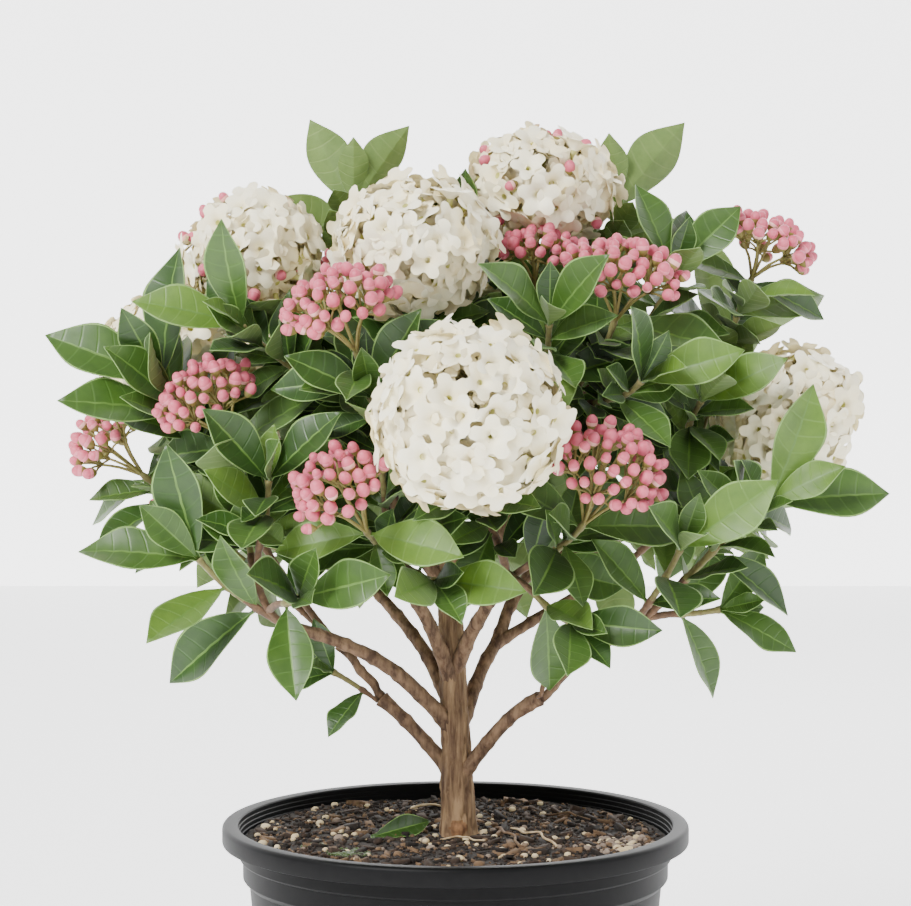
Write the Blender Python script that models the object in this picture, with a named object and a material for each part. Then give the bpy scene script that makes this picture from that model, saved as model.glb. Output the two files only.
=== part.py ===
"""A viburnum shrub in a black nursery pot, about 45 cm tall with its pot.

The sizes below are in millimetres, and MM turns them into metres where a mesh is made.
+Z is up, the plant's front faces -Y with +X on its right as it is looked at,
and the origin is the centre of the pot's flat underside.
"""

import math
import random

import bmesh
import bpy
from mathutils import Matrix, Vector

MM = 0.001
GAP = 0.3  # left between two pieces that touch
UP = Vector((0, 0, 1))

# The pot: a three-litre container with a rolled lip over a stepped collar.
POT_HEIGHT = 150.0
LIP_RADIUS = 95.0
LIP_DEPTH = 7.5
LIP_WIDTH = 6.5
LIP_ROUND = 1.8
COLLAR_RADIUS = 88.0
COLLAR_FOOT = 136.0
BAND_RADIUS = 86.6
BAND_FOOT = 126.0
WALL_RADIUS = 84.0
FOOT_RADIUS = 72.0
FOOT_ROUND = 2.5
WALL_THICKNESS = 1.6
FLOOR_THICKNESS = 2.4
POT_SIDES = 36
DRAIN_HOLES = 8
DRAIN_RADIUS = 5.0
DRAIN_RING = 57.0

# The soil stands a little below the lip.
SOIL_LEVEL = POT_HEIGHT - 8.0

# The trunk: its axis leans a little to the left and back as it rises.
TRUNK_FOOT = SOIL_LEVEL + GAP
TRUNK_TOP = 268.0
TRUNK_START = Vector((1.2, -0.6, 0))
TRUNK_LEAN = Vector((-4.0, 3.4, 0))
TRUNK_SWAY = 0.7
TRUNK_FOOT_RADIUS = 7.0
TRUNK_TOP_RADIUS = 4.3
FLARE = 1.7  # how far the root flare stands out at the cut
FLARE_HEIGHT = 7.0
FLARE_LOBES = 3
FLARE_TURN = 0.6  # the first lobe's angle from the right, in radians
FLARE_EVEN = 0.75  # the share of the flare that goes all the way round
FLUTING = 0.28  # shallow grooves up the lower trunk
FLUTES = 4
FLUTE_TWIST = 3.0
TRUNK_SIDES = 12
TRUNK_RINGS = 15

# Boughs. Each row: its parent, the share of the parent's length where it leaves, then its
# tip's bearing (degrees from the front towards the right), reach from the pot's axis and
# height, how far it bows above a straight line, and its radius at the foot and at the tip.
BOUGHS = {
    "bough_left_low": ("trunk", 0.19, -102, 31, 199, 1.5, 2.7, 3.1),
    "bough_left_low_outer": ("bough_left_low", 1.0, -101, 49, 221, 0.5, 1.9, 1.9),
    "bough_left_mid": ("trunk", 0.35, -67, 72, 233, 7.5, 3.3, 2.3),
    "bough_left_up": ("trunk", 0.50, -37, 38, 256, 2.5, 3.0, 2.5),
    "bough_right_low": ("trunk", 0.16, 60, 39, 203, 4.5, 2.7, 3.1),
    "bough_right_low_outer": ("bough_right_low", 1.0, 63, 73, 230, 2.5, 1.9, 2.5),
    "bough_right_fork": ("trunk", 0.54, 31, 35, 249, 2.5, 3.0, 2.6),
    "bough_right_up": ("trunk", 0.34, 142, 43, 241, 0.5, 3.1, 2.5),
    "bough_right_outer": ("bough_right_up", 0.62, 122, 86, 252, 0.0, 2.1, 1.9),
    "bough_back_left": ("trunk", 0.42, -140, 52, 240, 4.0, 3.0, 2.4),
    "bough_back": ("trunk", 0.50, -172, 46, 247, 3.0, 2.9, 2.3),
    "bough_upper_left": ("trunk", 0.80, -78, 31, 300, -4.0, 2.7, 2.1),
    "bough_upper_right": ("trunk", 0.76, 78, 32, 298, -4.0, 2.7, 2.1),
    "bough_top_right": ("trunk", 0.86, 122, 24, 312, -4.0, 2.4, 1.9),
    "bough_upper_back": ("trunk", 0.72, 178, 33, 298, -4.0, 2.7, 2.0),
}
BOUGH_SIDES = 8
BOUGH_RING_GAP = 11.0
BOUGH_WANDER = 0.5
BOUGH_SEED = 100
NODE_SWELL = 6  # how suddenly a limb swells into the node that two others grow from
FORK_OFFSET = 1.05  # how far off the swollen node's middle an outer bough stands
SPRIG_OFFSET = 2.25  # and a sprig stands on the node's other side
SPRIG_RADIUS = 0.85
SQUARE_START = 2.0  # a limb that meets another end to end starts straight for this length

# Foliage masses. Each has the limb that carries it and its shoots. A shoot's row: the
# middle of its flower head, bud cluster or leaf tuft (right, back, up), what ends it, the
# width and height of a head or cluster, its lean to the right and to the front in degrees,
# the turn of each leaf pair about the twig from the top down (0 spreads left and right),
# and the leaf length.
WHITE, BUDS, LEAVES = "white", "buds", "leaves"
MASSES = {
    "foliage_front": ("bough_right_fork", (
        ((5, -95, 317), WHITE, (75, 73), (2, 48), (80, 5, 95), 44),
        ((57, -70, 295), BUDS, (46, 36), (22, 28), (-5, 60, 5, 90), 48),
        ((44, -62, 238), LEAVES, None, (25, 62), (10, 80), 40),
    )),
    "foliage_front_left": ("bough_left_up", (
        ((-43, -75, 289), BUDS, (38, 31), (-30, 28), (0, 20, 5, 80), 46),
        ((-8, -62, 254), LEAVES, None, (8, 70), (0, 90, 0), 44),
        ((-32, -52, 324), LEAVES, None, (-12, 30), (0, 85, 10, 90), 42),
    )),
    "foliage_left_front": ("bough_left_mid", (
        ((-97, -35, 322), BUDS, (41, 30), (-27, 18), (0, 85, 5, 95), 48),
        ((-101, -34, 260), LEAVES, None, (-32, 12), (5, 60, 0), 50),
        ((-60, -58, 247), LEAVES, None, (-50, 45), (0, 85), 42),
        ((-72, -52, 292), LEAVES, None, (-5, 25), (5, 80, 10), 42),
    )),
    "foliage_upper_left": ("bough_upper_left", (
        ((-84, 17, 379), WHITE, (62, 58), (-25, 0), (5, 80, 0, 90), 52),
        ((-44, -62, 358), BUDS, (44, 28), (-20, 20), (0, 30, 10, 80), 44),
        ((-84, -28, 352), LEAVES, None, (-35, 25), (10, 80, 5), 44),
        ((-58, 30, 342), LEAVES, None, (-20, -5), (0, 85, 10), 44),
    )),
    "foliage_top": ("trunk", (
        ((-16, -20, 384), WHITE, (68, 55), (-8, 12), (80, 10, 95, 0), 46),
        ((-43, 36, 402), LEAVES, None, (8, -10), (0, 5, 80, 0), 46),
        ((2, 14, 392), LEAVES, None, (6, 8), (0, 85, 5), 40),
    )),
    "foliage_top_right": ("bough_top_right", (
        ((36, 25, 410), WHITE, (65, 46), (6, 0), (90, 0, 85, 5), 44),
        ((34, 0, 381), BUDS, (33, 20), (8, 10), (20, 95, 5), 42),
        ((67, 52, 402), LEAVES, None, (-18, -8), (0, 40, 90), 50),
    )),
    "foliage_upper_right": ("bough_upper_right", (
        ((66, -32, 371), BUDS, (48, 28), (10, 15), (0, 25, 5, 95), 50),
        ((88, 2, 374), LEAVES, None, (7, 0), (0, 50, 85), 44),
        ((36, -52, 352), LEAVES, None, (5, 35), (0, 85, 10), 42),
        ((72, -46, 330), LEAVES, None, (22, 30), (0, 80, 5), 42),
    )),
    "foliage_right": ("bough_right_outer", (
        ((129, 20, 385), BUDS, (42, 22), (27, -4), (10, 30, 0, 90), 46),
        ((135, 10, 313), WHITE, (56, 66), (42, 18), (85, 0, 80), 46),
        ((98, -18, 322), LEAVES, None, (30, 35), (0, 80, 10), 44),
        ((96, -6, 284), LEAVES, None, (35, 40), (0, 85, 10), 42),
    )),
    "foliage_right_low": ("bough_right_low_outer", (
        ((123, -40, 283), LEAVES, None, (60, 8), (10, 60, 0, 85), 46),
        ((86, -60, 266), LEAVES, None, (18, 40), (0, 80, 5), 44),
        ((104, -34, 240), LEAVES, None, (70, 10), (0, 80), 36),
    )),
    "foliage_right_low_sprig": ("bough_right_low", (
        ((36, -24, 214), LEAVES, None, (12, 10), (0, 70), 26),
    )),
    "foliage_left_low_sprig": ("bough_left_low", (
        ((-50, 0, 211), LEAVES, None, (-62, 10), (20, 60), 26),
    )),
    "foliage_left_low": ("bough_left_low_outer", (
        ((-142, 6, 303), BUDS, (30, 28), (-50, 0), (0, 40, 5, 90), 40),
        ((-117, -14, 330), LEAVES, None, (-25, 5), (0, 40, 0, 85), 56),
        ((-122, 48, 338), WHITE, (60, 52), (-35, -28), (0, 85, 5), 46),
        ((-86, 34, 258), LEAVES, None, (-45, -25), (0, 80, 10), 46),
    )),
    "foliage_back_left": ("bough_back_left", (
        ((-78, 92, 322), WHITE, (66, 60), (-32, -38), (0, 85, 5, 90), 48),
        ((-112, 70, 279), BUDS, (40, 28), (-48, -35), (5, 80, 0), 46),
        ((-44, 98, 268), LEAVES, None, (-18, -50), (0, 85, 10), 46),
        ((-56, 66, 368), BUDS, (42, 27), (-22, -22), (0, 85, 5, 95), 46),
    )),
    "foliage_back": ("bough_back", (
        ((-8, 118, 312), BUDS, (46, 32), (-4, -45), (0, 85, 10, 90), 48),
        ((22, 100, 262), LEAVES, None, (12, -55), (0, 80, 10), 46),
        ((-28, 106, 362), LEAVES, None, (-8, -30), (0, 80, 5, 85), 46),
    )),
    "foliage_back_right": ("bough_right_up", (
        ((70, 96, 326), WHITE, (68, 62), (28, -40), (0, 85, 5, 90), 48),
        ((112, 72, 288), BUDS, (42, 28), (45, -32), (5, 80, 0), 46),
        ((72, 88, 258), LEAVES, None, (35, -45), (0, 85, 10), 44),
        ((112, 62, 346), LEAVES, None, (32, -22), (0, 80, 5, 85), 46),
    )),
    "foliage_upper_back": ("bough_upper_back", (
        ((0, 74, 384), WHITE, (66, 54), (0, -28), (0, 85, 5, 90), 46),
        ((54, 84, 376), BUDS, (42, 26), (14, -28), (5, 85, 0), 46),
        ((34, 112, 360), LEAVES, None, (12, -40), (20, 85, 5), 44),
    )),
}
TWIG_RADIUS = 1.15  # at a shoot's tip
TWIG_FOOT_RADIUS = 1.7
TWIG_STEP = 13.0
TWIG_SIDES = 3
BRANCH_SHARES = (0.14, 0.28, 0.42)  # where the second, third and fourth shoots leave the first
FIRST_NODE = {WHITE: 5.0, BUDS: 3.0, LEAVES: 0.5}  # from the twig's tip down to its top leaf pair
NODE_GAP = 15.0
TWIG_CLEAR = 1.0
LIMB_CLEAR = 1.6
STEM_SHARE = 0.8  # a mass's stem has this share of its bough's tip radius
TURN_ASIDE = 1.3  # how strongly a side shoot turns from the stem towards its own tip
LEAVE_PULL, ARRIVE_PULL = 0.8, 0.7  # how long a twig keeps the way that it starts and ends in
TWIG_TAPER = 0.6

# Leaves: opposite pairs that turn a quarter round the twig from one pair to the next.
LEAF_WIDTH = 0.43  # share of the length
LEAF_ROOT_DEPTH = 1.5  # thickness where it is sunk in the twig
LEAF_KEEL = 0.9  # how far the midrib stands out under the blade
LEAF_DROOP = 0.14
LEAF_RISE = 0.35  # how far it first rises, before it droops
FIRST_SPREAD = {WHITE: 64.0, BUDS: 56.0, LEAVES: 33.0}  # degrees between the top pair and the twig
LOWER_SPREAD = 62.0  # and those below it,
SPREAD_STEP = 6.0  # each pair a little more
LEAF_JITTER = 7.0
CROWN_MIDDLE = 22.0  # how far behind the pot's axis the crown parts into front and back
CROWN_REACH = 150.0
# By these shares a blade turns its upper face to its twig's tip, to the sky, to the crown's
# outside, and to the front or the back.
FACE_TIP, FACE_UP, FACE_OUT, FACE_FRONT = 0.35, 0.5, 0.5, 0.75
# Where a leaf would touch something it is tried again with more spread, more turn and a
# share of its length.
LEAF_TRIES = ((0, 0, 1.0), (12, 10, 0.95), (-16, -12, 0.92), (22, -24, 0.9),
              (-28, 20, 0.85), (8, 38, 0.82), (34, 0, 0.78), (-36, -34, 0.75))
LEAF_CLEAR = 3.1  # between the leaves of two masses
LEAF_CLEAR_OWN = 2.2  # between leaves of one mass
LEAF_ALONG = 7  # points that stand for a blade when room is looked for
LEAF_ACROSS = 2
LEAF_SEED = 1000
PAIR_SHARES = (1.0, 1.0, 0.94, 0.88)  # lower pairs are a little shorter
LENGTH_RANGE = (0.88, 1.08)
ROOT_FREE = 0.08  # this share of a leaf may touch its twig,
ROOT_NEAR = 0.22  # and this share may come close to it
LEAST_STEM = 0.4  # of a node gap, left under the lowest pair

# Flower heads and bud clusters.
WHITE_FOOT = 0.40  # the twig ends this share of the height below the middle
WHITE_POINTS = 66
WHITE_ROUGHNESS = 0.035
CLUSTER_FOOT = 0.62
CLUSTER_POINTS = 20
CLUSTER_LOWEST = -0.5  # the buds stop this far down the ball that they lie on
CLUSTER_RAYS = 4
RAY_RADIUS = 0.9
RAY_SPREAD = 0.26  # share of the cluster's width
RAY_SINK = 1.0
GOLDEN_ANGLE = math.pi * (3 - math.sqrt(5))
HEAD_CLEAR = 1.2


def place(bearing, reach, height):
    """A point by its bearing from the front towards the right, its reach and its height."""
    angle = math.radians(bearing)
    return Vector((reach * math.sin(angle), -reach * math.cos(angle), height))


def leaning(side, fore):
    """The direction that leans this many degrees from upright to the right and to the front."""
    return Vector((math.tan(math.radians(side)), -math.tan(math.radians(fore)), 1)).normalized()


def bend(start, start_way, end, end_way, steps):
    """A smooth path that leaves one point in one direction and reaches another in another."""
    pull = (end - start).length
    path = []
    for i in range(steps + 1):
        t = i / steps
        from_start = (2 * t**3 - 3 * t**2 + 1) * start + (t**3 - 2 * t**2 + t) * pull * start_way
        to_end = (3 * t**2 - 2 * t**3) * end + (t**3 - t**2) * pull * end_way
        path.append(from_start + to_end)
    return path


def along(path, share):
    """The point at this share of the path's points, and the way it runs there."""
    place_on = share * (len(path) - 1)
    i = min(int(place_on), len(path) - 2)
    step = path[i + 1] - path[i]
    return path[i] + step * (place_on - i), step.normalized()


def square_to(way, wish):
    """The part of wish that is at right angles to way, made one long."""
    side = wish - way * wish.dot(way)
    if side.length < 0.05:
        side = Vector((1, 0, 0)) - way * way.x
    return side.normalized()


def trunk_path():
    path = []
    for i in range(TRUNK_RINGS):
        share = i / (TRUNK_RINGS - 1)
        height = TRUNK_FOOT + (TRUNK_TOP - TRUNK_FOOT) * share
        sway = Vector((math.sin(share * 7.0), math.cos(share * 5.0) - 1, 0)) * TRUNK_SWAY * share
        path.append(TRUNK_START + TRUNK_LEAN * share + sway + UP * height)
    return path


def trunk_radius(share, angle):
    """The trunk tapers from its foot, where the root flare stands out in a few lobes."""
    taper = TRUNK_FOOT_RADIUS + (TRUNK_TOP_RADIUS - TRUNK_FOOT_RADIUS) * share
    height = (TRUNK_TOP - TRUNK_FOOT) * share
    flare = FLARE * math.exp(-height / FLARE_HEIGHT)
    flare *= FLARE_EVEN + (1 - FLARE_EVEN) * math.cos(FLARE_LOBES * angle + FLARE_TURN)
    fluting = FLUTING * math.cos(FLUTES * angle + FLUTE_TWIST * share) * (1 - share)
    return taper + flare + fluting


def bough_paths():
    """Each bough's path, from its parent's axis or from its parent's tip, to its own tip."""
    paths = {"trunk": trunk_path()}
    for number, (name, row) in enumerate(BOUGHS.items()):
        parent, share, bearing, reach, height, bow = row[:6]
        start, way = along(paths[parent], share)
        tip = place(bearing, reach, height)
        if share == 1.0:
            sprig_tip = Vector(MASSES[parent.replace("bough", "foliage") + "_sprig"][1][0][0])
            start = start + way * GAP - square_to(way, sprig_tip - tip) * FORK_OFFSET
        chord = tip - start
        rng = random.Random(BOUGH_SEED + number)
        steps = max(4, round(chord.length / BOUGH_RING_GAP))
        lift = square_to(chord.normalized(), UP)
        path = []
        for i in range(steps + 1):
            t = i / steps
            wander = Vector((rng.uniform(-1, 1), rng.uniform(-1, 1), rng.uniform(-1, 1)))
            inner = 0 if i in (0, steps) else BOUGH_WANDER
            path.append(start + chord * t + lift * bow * math.sin(math.pi * t) + wander * inner)
        if share == 1.0:
            path.insert(1, start + way * SQUARE_START)
        paths[name] = path
    return paths


def head_foot(centre, kind, size, way):
    """Where the twig ends under a head or a cluster."""
    if kind == WHITE:
        return centre - way * size[1] * WHITE_FOOT
    if kind == BUDS:
        return centre - way * size[1] * CLUSTER_FOOT
    return centre.copy()


def mass_twigs(paths):
    """For each mass, its shoots with the path and the radii of their twigs."""
    masses = {}
    for mass, (carrier, shoots) in MASSES.items():
        start, way = along(paths[carrier], 1.0)
        tip_radius = BOUGHS[carrier][7] if carrier in BOUGHS else TRUNK_TOP_RADIUS
        start = start + way * GAP
        foot_radius = tip_radius * STEM_SHARE
        if mass.endswith("_sprig"):
            outer = paths[carrier + "_outer"][0] - start
            start = start - square_to(way, outer) * SPRIG_OFFSET
            foot_radius = SPRIG_RADIUS
        main = None
        twigs = []
        for number, (centre, kind, size, lean, turns, leaf) in enumerate(shoots):
            tip_way = leaning(*lean)
            tip = head_foot(Vector(centre), kind, size, tip_way)
            if number:
                start, way = along(main, BRANCH_SHARES[number - 1])
                way = (way + (tip - start).normalized() * TURN_ASIDE).normalized()
                foot_radius = TWIG_FOOT_RADIUS
            steps = max(3, round((tip - start).length / TWIG_STEP))
            path = bend(start, way * LEAVE_PULL, tip, tip_way * ARRIVE_PULL, steps)
            if not number:
                path.insert(1, start + way * SQUARE_START)
                main = path
            twigs.append((path, foot_radius, Vector(centre), kind, size, tip_way, turns, leaf))
        masses[mass] = twigs
    return masses


class Space:
    """What is taken, by mass, so that a leaf that would touch something is turned or skipped."""

    CELL = 6.0

    def __init__(self):
        self.cells = {}
        self.heads = []

    def key(self, point):
        return tuple(int(math.floor(c / self.CELL)) for c in point)

    def add(self, point, radius, mass, twig):
        self.cells.setdefault(self.key(point), []).append((point, radius, mass, twig))

    def add_path(self, path, radii, mass, twig):
        for a, b, ra, rb in zip(path, path[1:], radii, radii[1:]):
            steps = max(1, math.ceil((b - a).length / 2.5))
            for i in range(steps + 1):
                t = i / steps
                self.add(a.lerp(b, t), ra + (rb - ra) * t, mass, twig)

    def free(self, point, mass, twig, near_root):
        for centre, way, half_width, half_height in self.heads:
            offset = point - centre
            rise = offset.dot(way)
            aside = (offset - way * rise).length
            if (aside / half_width) ** 2 + (rise / half_height) ** 2 < 1:
                return False
        x, y, z = self.key(point)
        for i in (x - 1, x, x + 1):
            for j in (y - 1, y, y + 1):
                for k in (z - 1, z, z + 1):
                    for other, radius, other_mass, other_twig in self.cells.get((i, j, k), ()):
                        if near_root and other_mass == mass and other_twig == twig:
                            continue
                        is_leaf = other_twig is None
                        if other_mass != mass:
                            clear = LEAF_CLEAR if is_leaf else radius + LIMB_CLEAR
                        else:
                            clear = LEAF_CLEAR_OWN if is_leaf else radius + TWIG_CLEAR
                            if near_root and is_leaf:
                                continue
                        if (point - other).length_squared < clear * clear:
                            return False
        return True


def arch(leaf, share):
    """How far the blade has bent away from its upper side at this share of its length."""
    return LEAF_DROOP * leaf[3] * (share * share - LEAF_RISE * share)


def leaf_points(leaf):
    """Points all over a leaf's blade, with the share of its length where each lies."""
    root, way, normal, length, width = leaf
    side = way.cross(normal)
    points = []
    for i in range(LEAF_ALONG + 1):
        t = i / LEAF_ALONG
        half = width * 0.5 * max(0, math.sin(math.pi * (0.06 + 0.94 * t))) ** 0.75
        if i in (0, LEAF_ALONG):
            half = 0
        for j in range(-LEAF_ACROSS, LEAF_ACROSS + 1):
            if j and not half:
                continue
            place_on = root + way * length * t + side * half * j / LEAF_ACROSS
            points.append((t, place_on - normal * arch(leaf, t)))
    return points


def leaf_at(root, twig_way, angle, spread, length):
    """A leaf that leaves the twig at this turn about it and this spread from it."""
    across = square_to(twig_way, Vector((1, 0, 0)))
    forward = twig_way.cross(across)
    side = across * math.cos(angle) + forward * math.sin(angle)
    way = twig_way * math.cos(spread) + side * math.sin(spread)
    outward = Vector((root.x, root.y - CROWN_MIDDLE, 0)) / CROWN_REACH
    facing = -1 if root.y < CROWN_MIDDLE else 1
    wish = twig_way * FACE_TIP + UP * FACE_UP + outward * FACE_OUT + Vector((0, facing * FACE_FRONT, 0))
    return root, way, square_to(way, wish), length, length * LEAF_WIDTH


def node_places(path, first, count):
    """The places of this many leaf pairs, counted from the path's tip down."""
    lengths = [(b - a).length for a, b in zip(path, path[1:])]
    total = sum(lengths)
    places = []
    for k in range(count):
        wanted = total - first - k * NODE_GAP
        if wanted < NODE_GAP * LEAST_STEM:
            break
        run = 0
        for a, b, length in zip(path, path[1:], lengths):
            if run + length >= wanted:
                places.append((a.lerp(b, (wanted - run) / length), (b - a).normalized()))
                break
            run += length
    return places


def twig_radii(path, foot_radius):
    last = len(path) - 1
    return [foot_radius + (TWIG_RADIUS - foot_radius) * (i / last) ** TWIG_TAPER for i in range(last + 1)]


def grow_leaves(paths, masses):
    """Every leaf of every mass: each pair is tried in a few positions and skipped where none is free."""
    space = Space()
    for name, path in paths.items():
        foot, tip = (TRUNK_FOOT_RADIUS, TRUNK_TOP_RADIUS) if name == "trunk" else BOUGHS[name][6:8]
        radii = [foot + (tip - foot) * i / (len(path) - 1) for i in range(len(path))]
        space.add_path(path, radii, "limbs", name)
    for mass, twigs in masses.items():
        for number, (path, foot_radius, centre, kind, size, way, _, _) in enumerate(twigs):
            space.add_path(path, twig_radii(path, foot_radius), mass, number)
            if kind != LEAVES:
                space.heads.append((centre, way, size[0] * 0.5 + HEAD_CLEAR, size[1] * 0.5 + HEAD_CLEAR))
    leaves = {mass: [] for mass in masses}
    order = [(mass, number) for mass, twigs in masses.items() for number in range(len(twigs))]
    for turn_in_row in range(len(PAIR_SHARES)):
        for place_in_order, (mass, number) in enumerate(order):
            path, _, _, kind, _, _, turns, length = masses[mass][number]
            if turn_in_row >= len(turns):
                continue
            nodes = node_places(path, FIRST_NODE[kind], len(turns))
            if turn_in_row >= len(nodes):
                continue
            rng = random.Random(LEAF_SEED + 10 * place_in_order + turn_in_row)
            root, way = nodes[turn_in_row]
            size = length * rng.uniform(*LENGTH_RANGE) * PAIR_SHARES[turn_in_row]
            for half_turn in (0, 180):
                jitter = rng.uniform(-LEAF_JITTER, LEAF_JITTER)
                spread = LOWER_SPREAD + SPREAD_STEP * turn_in_row if turn_in_row else FIRST_SPREAD[kind]
                spread += rng.uniform(-LEAF_JITTER, LEAF_JITTER)
                for more_spread, more_turn, share in LEAF_TRIES:
                    angle = math.radians(turns[turn_in_row] + half_turn + jitter + more_turn)
                    leaf = leaf_at(root, way, angle, math.radians(spread + more_spread), size * share)
                    points = leaf_points(leaf)
                    if all(space.free(p, mass, number, t < ROOT_NEAR) for t, p in points if t > ROOT_FREE):
                        for _, p in points:
                            space.add(p, 0.0, mass, None)
                        leaves[mass].append(leaf)
                        break
    return leaves


def new_material(name, colour, roughness):
    material = bpy.data.materials.new(name)
    material.use_nodes = True
    shader = material.node_tree.nodes["Principled BSDF"]
    shader.inputs["Base Color"].default_value = (*colour, 1)
    shader.inputs["Roughness"].default_value = roughness
    return material


def new_object(name, bm, material, sharp_degrees=40):
    """A mesh object made from the millimetres in this bmesh."""
    bmesh.ops.scale(bm, vec=(MM, MM, MM), verts=bm.verts)
    bmesh.ops.recalc_face_normals(bm, faces=bm.faces)
    mesh = bpy.data.meshes.new(name)
    bm.to_mesh(mesh)
    bm.free()
    mesh.materials.append(material)
    mesh.shade_smooth()
    mesh.set_sharp_from_angle(angle=math.radians(sharp_degrees))
    obj = bpy.data.objects.new(name, mesh)
    bpy.context.scene.collection.objects.link(obj)
    return obj


def tube(bm, path, radius_at, sides, start_side=None):
    """A closed tube along a path. radius_at gives the radius at a ring's number and an angle."""
    way = (path[1] - path[0]).normalized()
    side = square_to(way, start_side or Vector((1, 0, 0)))
    rings = []
    for i, point in enumerate(path):
        before = path[max(0, i - 1)]
        after = path[min(len(path) - 1, i + 1)]
        new_way = (after - before).normalized()
        side = square_to(new_way, side)
        up = new_way.cross(side)
        ring = []
        for k in range(sides):
            angle = math.tau * k / sides
            spoke = side * math.cos(angle) + up * math.sin(angle)
            ring.append(bm.verts.new(point + spoke * radius_at(i, angle)))
        rings.append(ring)
    for lower, upper in zip(rings, rings[1:]):
        for k in range(sides):
            bm.faces.new((lower[k], lower[(k + 1) % sides], upper[(k + 1) % sides], upper[k]))
    bm.faces.new(rings[0][::-1])
    bm.faces.new(rings[-1])


def flat_foot(bm, level):
    """Lays the lowest ring of a nearly upright tube level."""
    bm.verts.ensure_lookup_table()
    for vert in bm.verts:
        if vert.co.z < level + 1.0:
            vert.co.z = level


def trunk_mesh(path, grow):
    bm = bmesh.new()
    last = len(path) - 1
    tube(bm, path, lambda i, angle: trunk_radius(i / last, angle) + grow, TRUNK_SIDES)
    flat_foot(bm, path[0].z - grow)
    return bm


def bough_mesh(name, path, grow):
    foot, tip = BOUGHS[name][6:8]
    last = len(path) - 1
    bm = bmesh.new()
    swollen = tip > foot

    def radius_at(i, _):
        share = i / last
        if swollen:
            return foot + grow + (tip - foot) * share**NODE_SWELL
        return foot + grow + (tip - foot) * share

    tube(bm, path, radius_at, BOUGH_SIDES)
    return bm


def apply_modifiers(obj):
    graph = bpy.context.evaluated_depsgraph_get()
    mesh = bpy.data.meshes.new_from_object(obj.evaluated_get(graph))
    obj.modifiers.clear()
    obj.data = mesh


def cut(obj, cutter):
    """Takes the cutter out of the object, and the cutter out of the scene."""
    modifier = obj.modifiers.new("cut", "BOOLEAN")
    modifier.operation = "DIFFERENCE"
    modifier.object = cutter
    apply_modifiers(obj)
    bpy.data.objects.remove(cutter)


def make_trunk(path, bark):
    return new_object("trunk", trunk_mesh(path, 0), bark)


def make_bough(name, paths, bark):
    """A tapering limb, whose foot is cut to the parent's side, a gap clear."""
    bough = new_object(name, bough_mesh(name, paths[name], 0), bark)
    parent, share = BOUGHS[name][:2]
    if share < 1.0:
        if parent == "trunk":
            grown = trunk_mesh(paths[parent], GAP)
        else:
            grown = bough_mesh(parent, paths[parent], GAP)
        cut(bough, new_object("cutter", grown, bark))
    return bough


def turned(name, profile, material):
    """A solid turned about the pot's axis from (radius, height) points, down its outside first."""
    bm = bmesh.new()
    verts = [bm.verts.new((radius, 0, height)) for radius, height in profile]
    for a, b in zip(verts, verts[1:]):
        bm.edges.new((a, b))
    bmesh.ops.scale(bm, vec=(MM, MM, MM), verts=bm.verts)
    mesh = bpy.data.meshes.new(name)
    bm.to_mesh(mesh)
    bm.free()
    mesh.materials.append(material)
    obj = bpy.data.objects.new(name, mesh)
    bpy.context.scene.collection.objects.link(obj)
    screw = obj.modifiers.new("turn", "SCREW")
    screw.steps = POT_SIDES
    screw.render_steps = POT_SIDES
    screw.use_merge_vertices = True
    screw.merge_threshold = 0.00001
    screw.use_smooth_shade = True
    return obj


def wall_inside(height):
    """The radius of the pot's inner wall at a height under the collar."""
    share = (height - FLOOR_THICKNESS) / (COLLAR_FOOT - FLOOR_THICKNESS)
    low = FOOT_RADIUS - WALL_THICKNESS - 0.6
    return low + (BAND_RADIUS - WALL_THICKNESS - low) * share


def make_pot(plastic):
    """The container: lip, collar, band and tapering wall outside, a plain wall and a floor inside."""
    lip_foot = POT_HEIGHT - LIP_DEPTH
    lip_inside = LIP_RADIUS - LIP_WIDTH
    profile = [(lip_inside, POT_HEIGHT - 0.6), (lip_inside + 1.2, POT_HEIGHT)]
    for step in range(4):
        angle = math.radians(90 - 30 * step)
        profile.append((LIP_RADIUS - LIP_ROUND + LIP_ROUND * math.cos(angle),
                        POT_HEIGHT - LIP_ROUND + LIP_ROUND * math.sin(angle)))
    profile += [
        (LIP_RADIUS, lip_foot + 0.8),
        (LIP_RADIUS - 0.8, lip_foot),
        (COLLAR_RADIUS, lip_foot),
        (COLLAR_RADIUS, COLLAR_FOOT + 1.2),
        (BAND_RADIUS, COLLAR_FOOT),
        (BAND_RADIUS, BAND_FOOT + 2.0),
        (WALL_RADIUS, BAND_FOOT),
        (FOOT_RADIUS + 0.3, FOOT_ROUND),
        (FOOT_RADIUS - FOOT_ROUND, 0),
        (0, 0),
    ]
    inside = [(0, FLOOR_THICKNESS), (wall_inside(FLOOR_THICKNESS), FLOOR_THICKNESS),
              (wall_inside(COLLAR_FOOT), COLLAR_FOOT)]
    pot = turned("pot", profile + inside + profile[:1], plastic)
    apply_modifiers(pot)
    bm = bmesh.new()
    for hole in range(DRAIN_HOLES):
        middle = place(hole * 360 / DRAIN_HOLES + 22.5, DRAIN_RING, FLOOR_THICKNESS / 2)
        bmesh.ops.create_cone(bm, cap_ends=True, segments=12, radius1=DRAIN_RADIUS, radius2=DRAIN_RADIUS,
                              depth=FLOOR_THICKNESS * 3, matrix=Matrix.Translation(middle))
    cut(pot, new_object("cutter", bm, plastic))
    return pot


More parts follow.
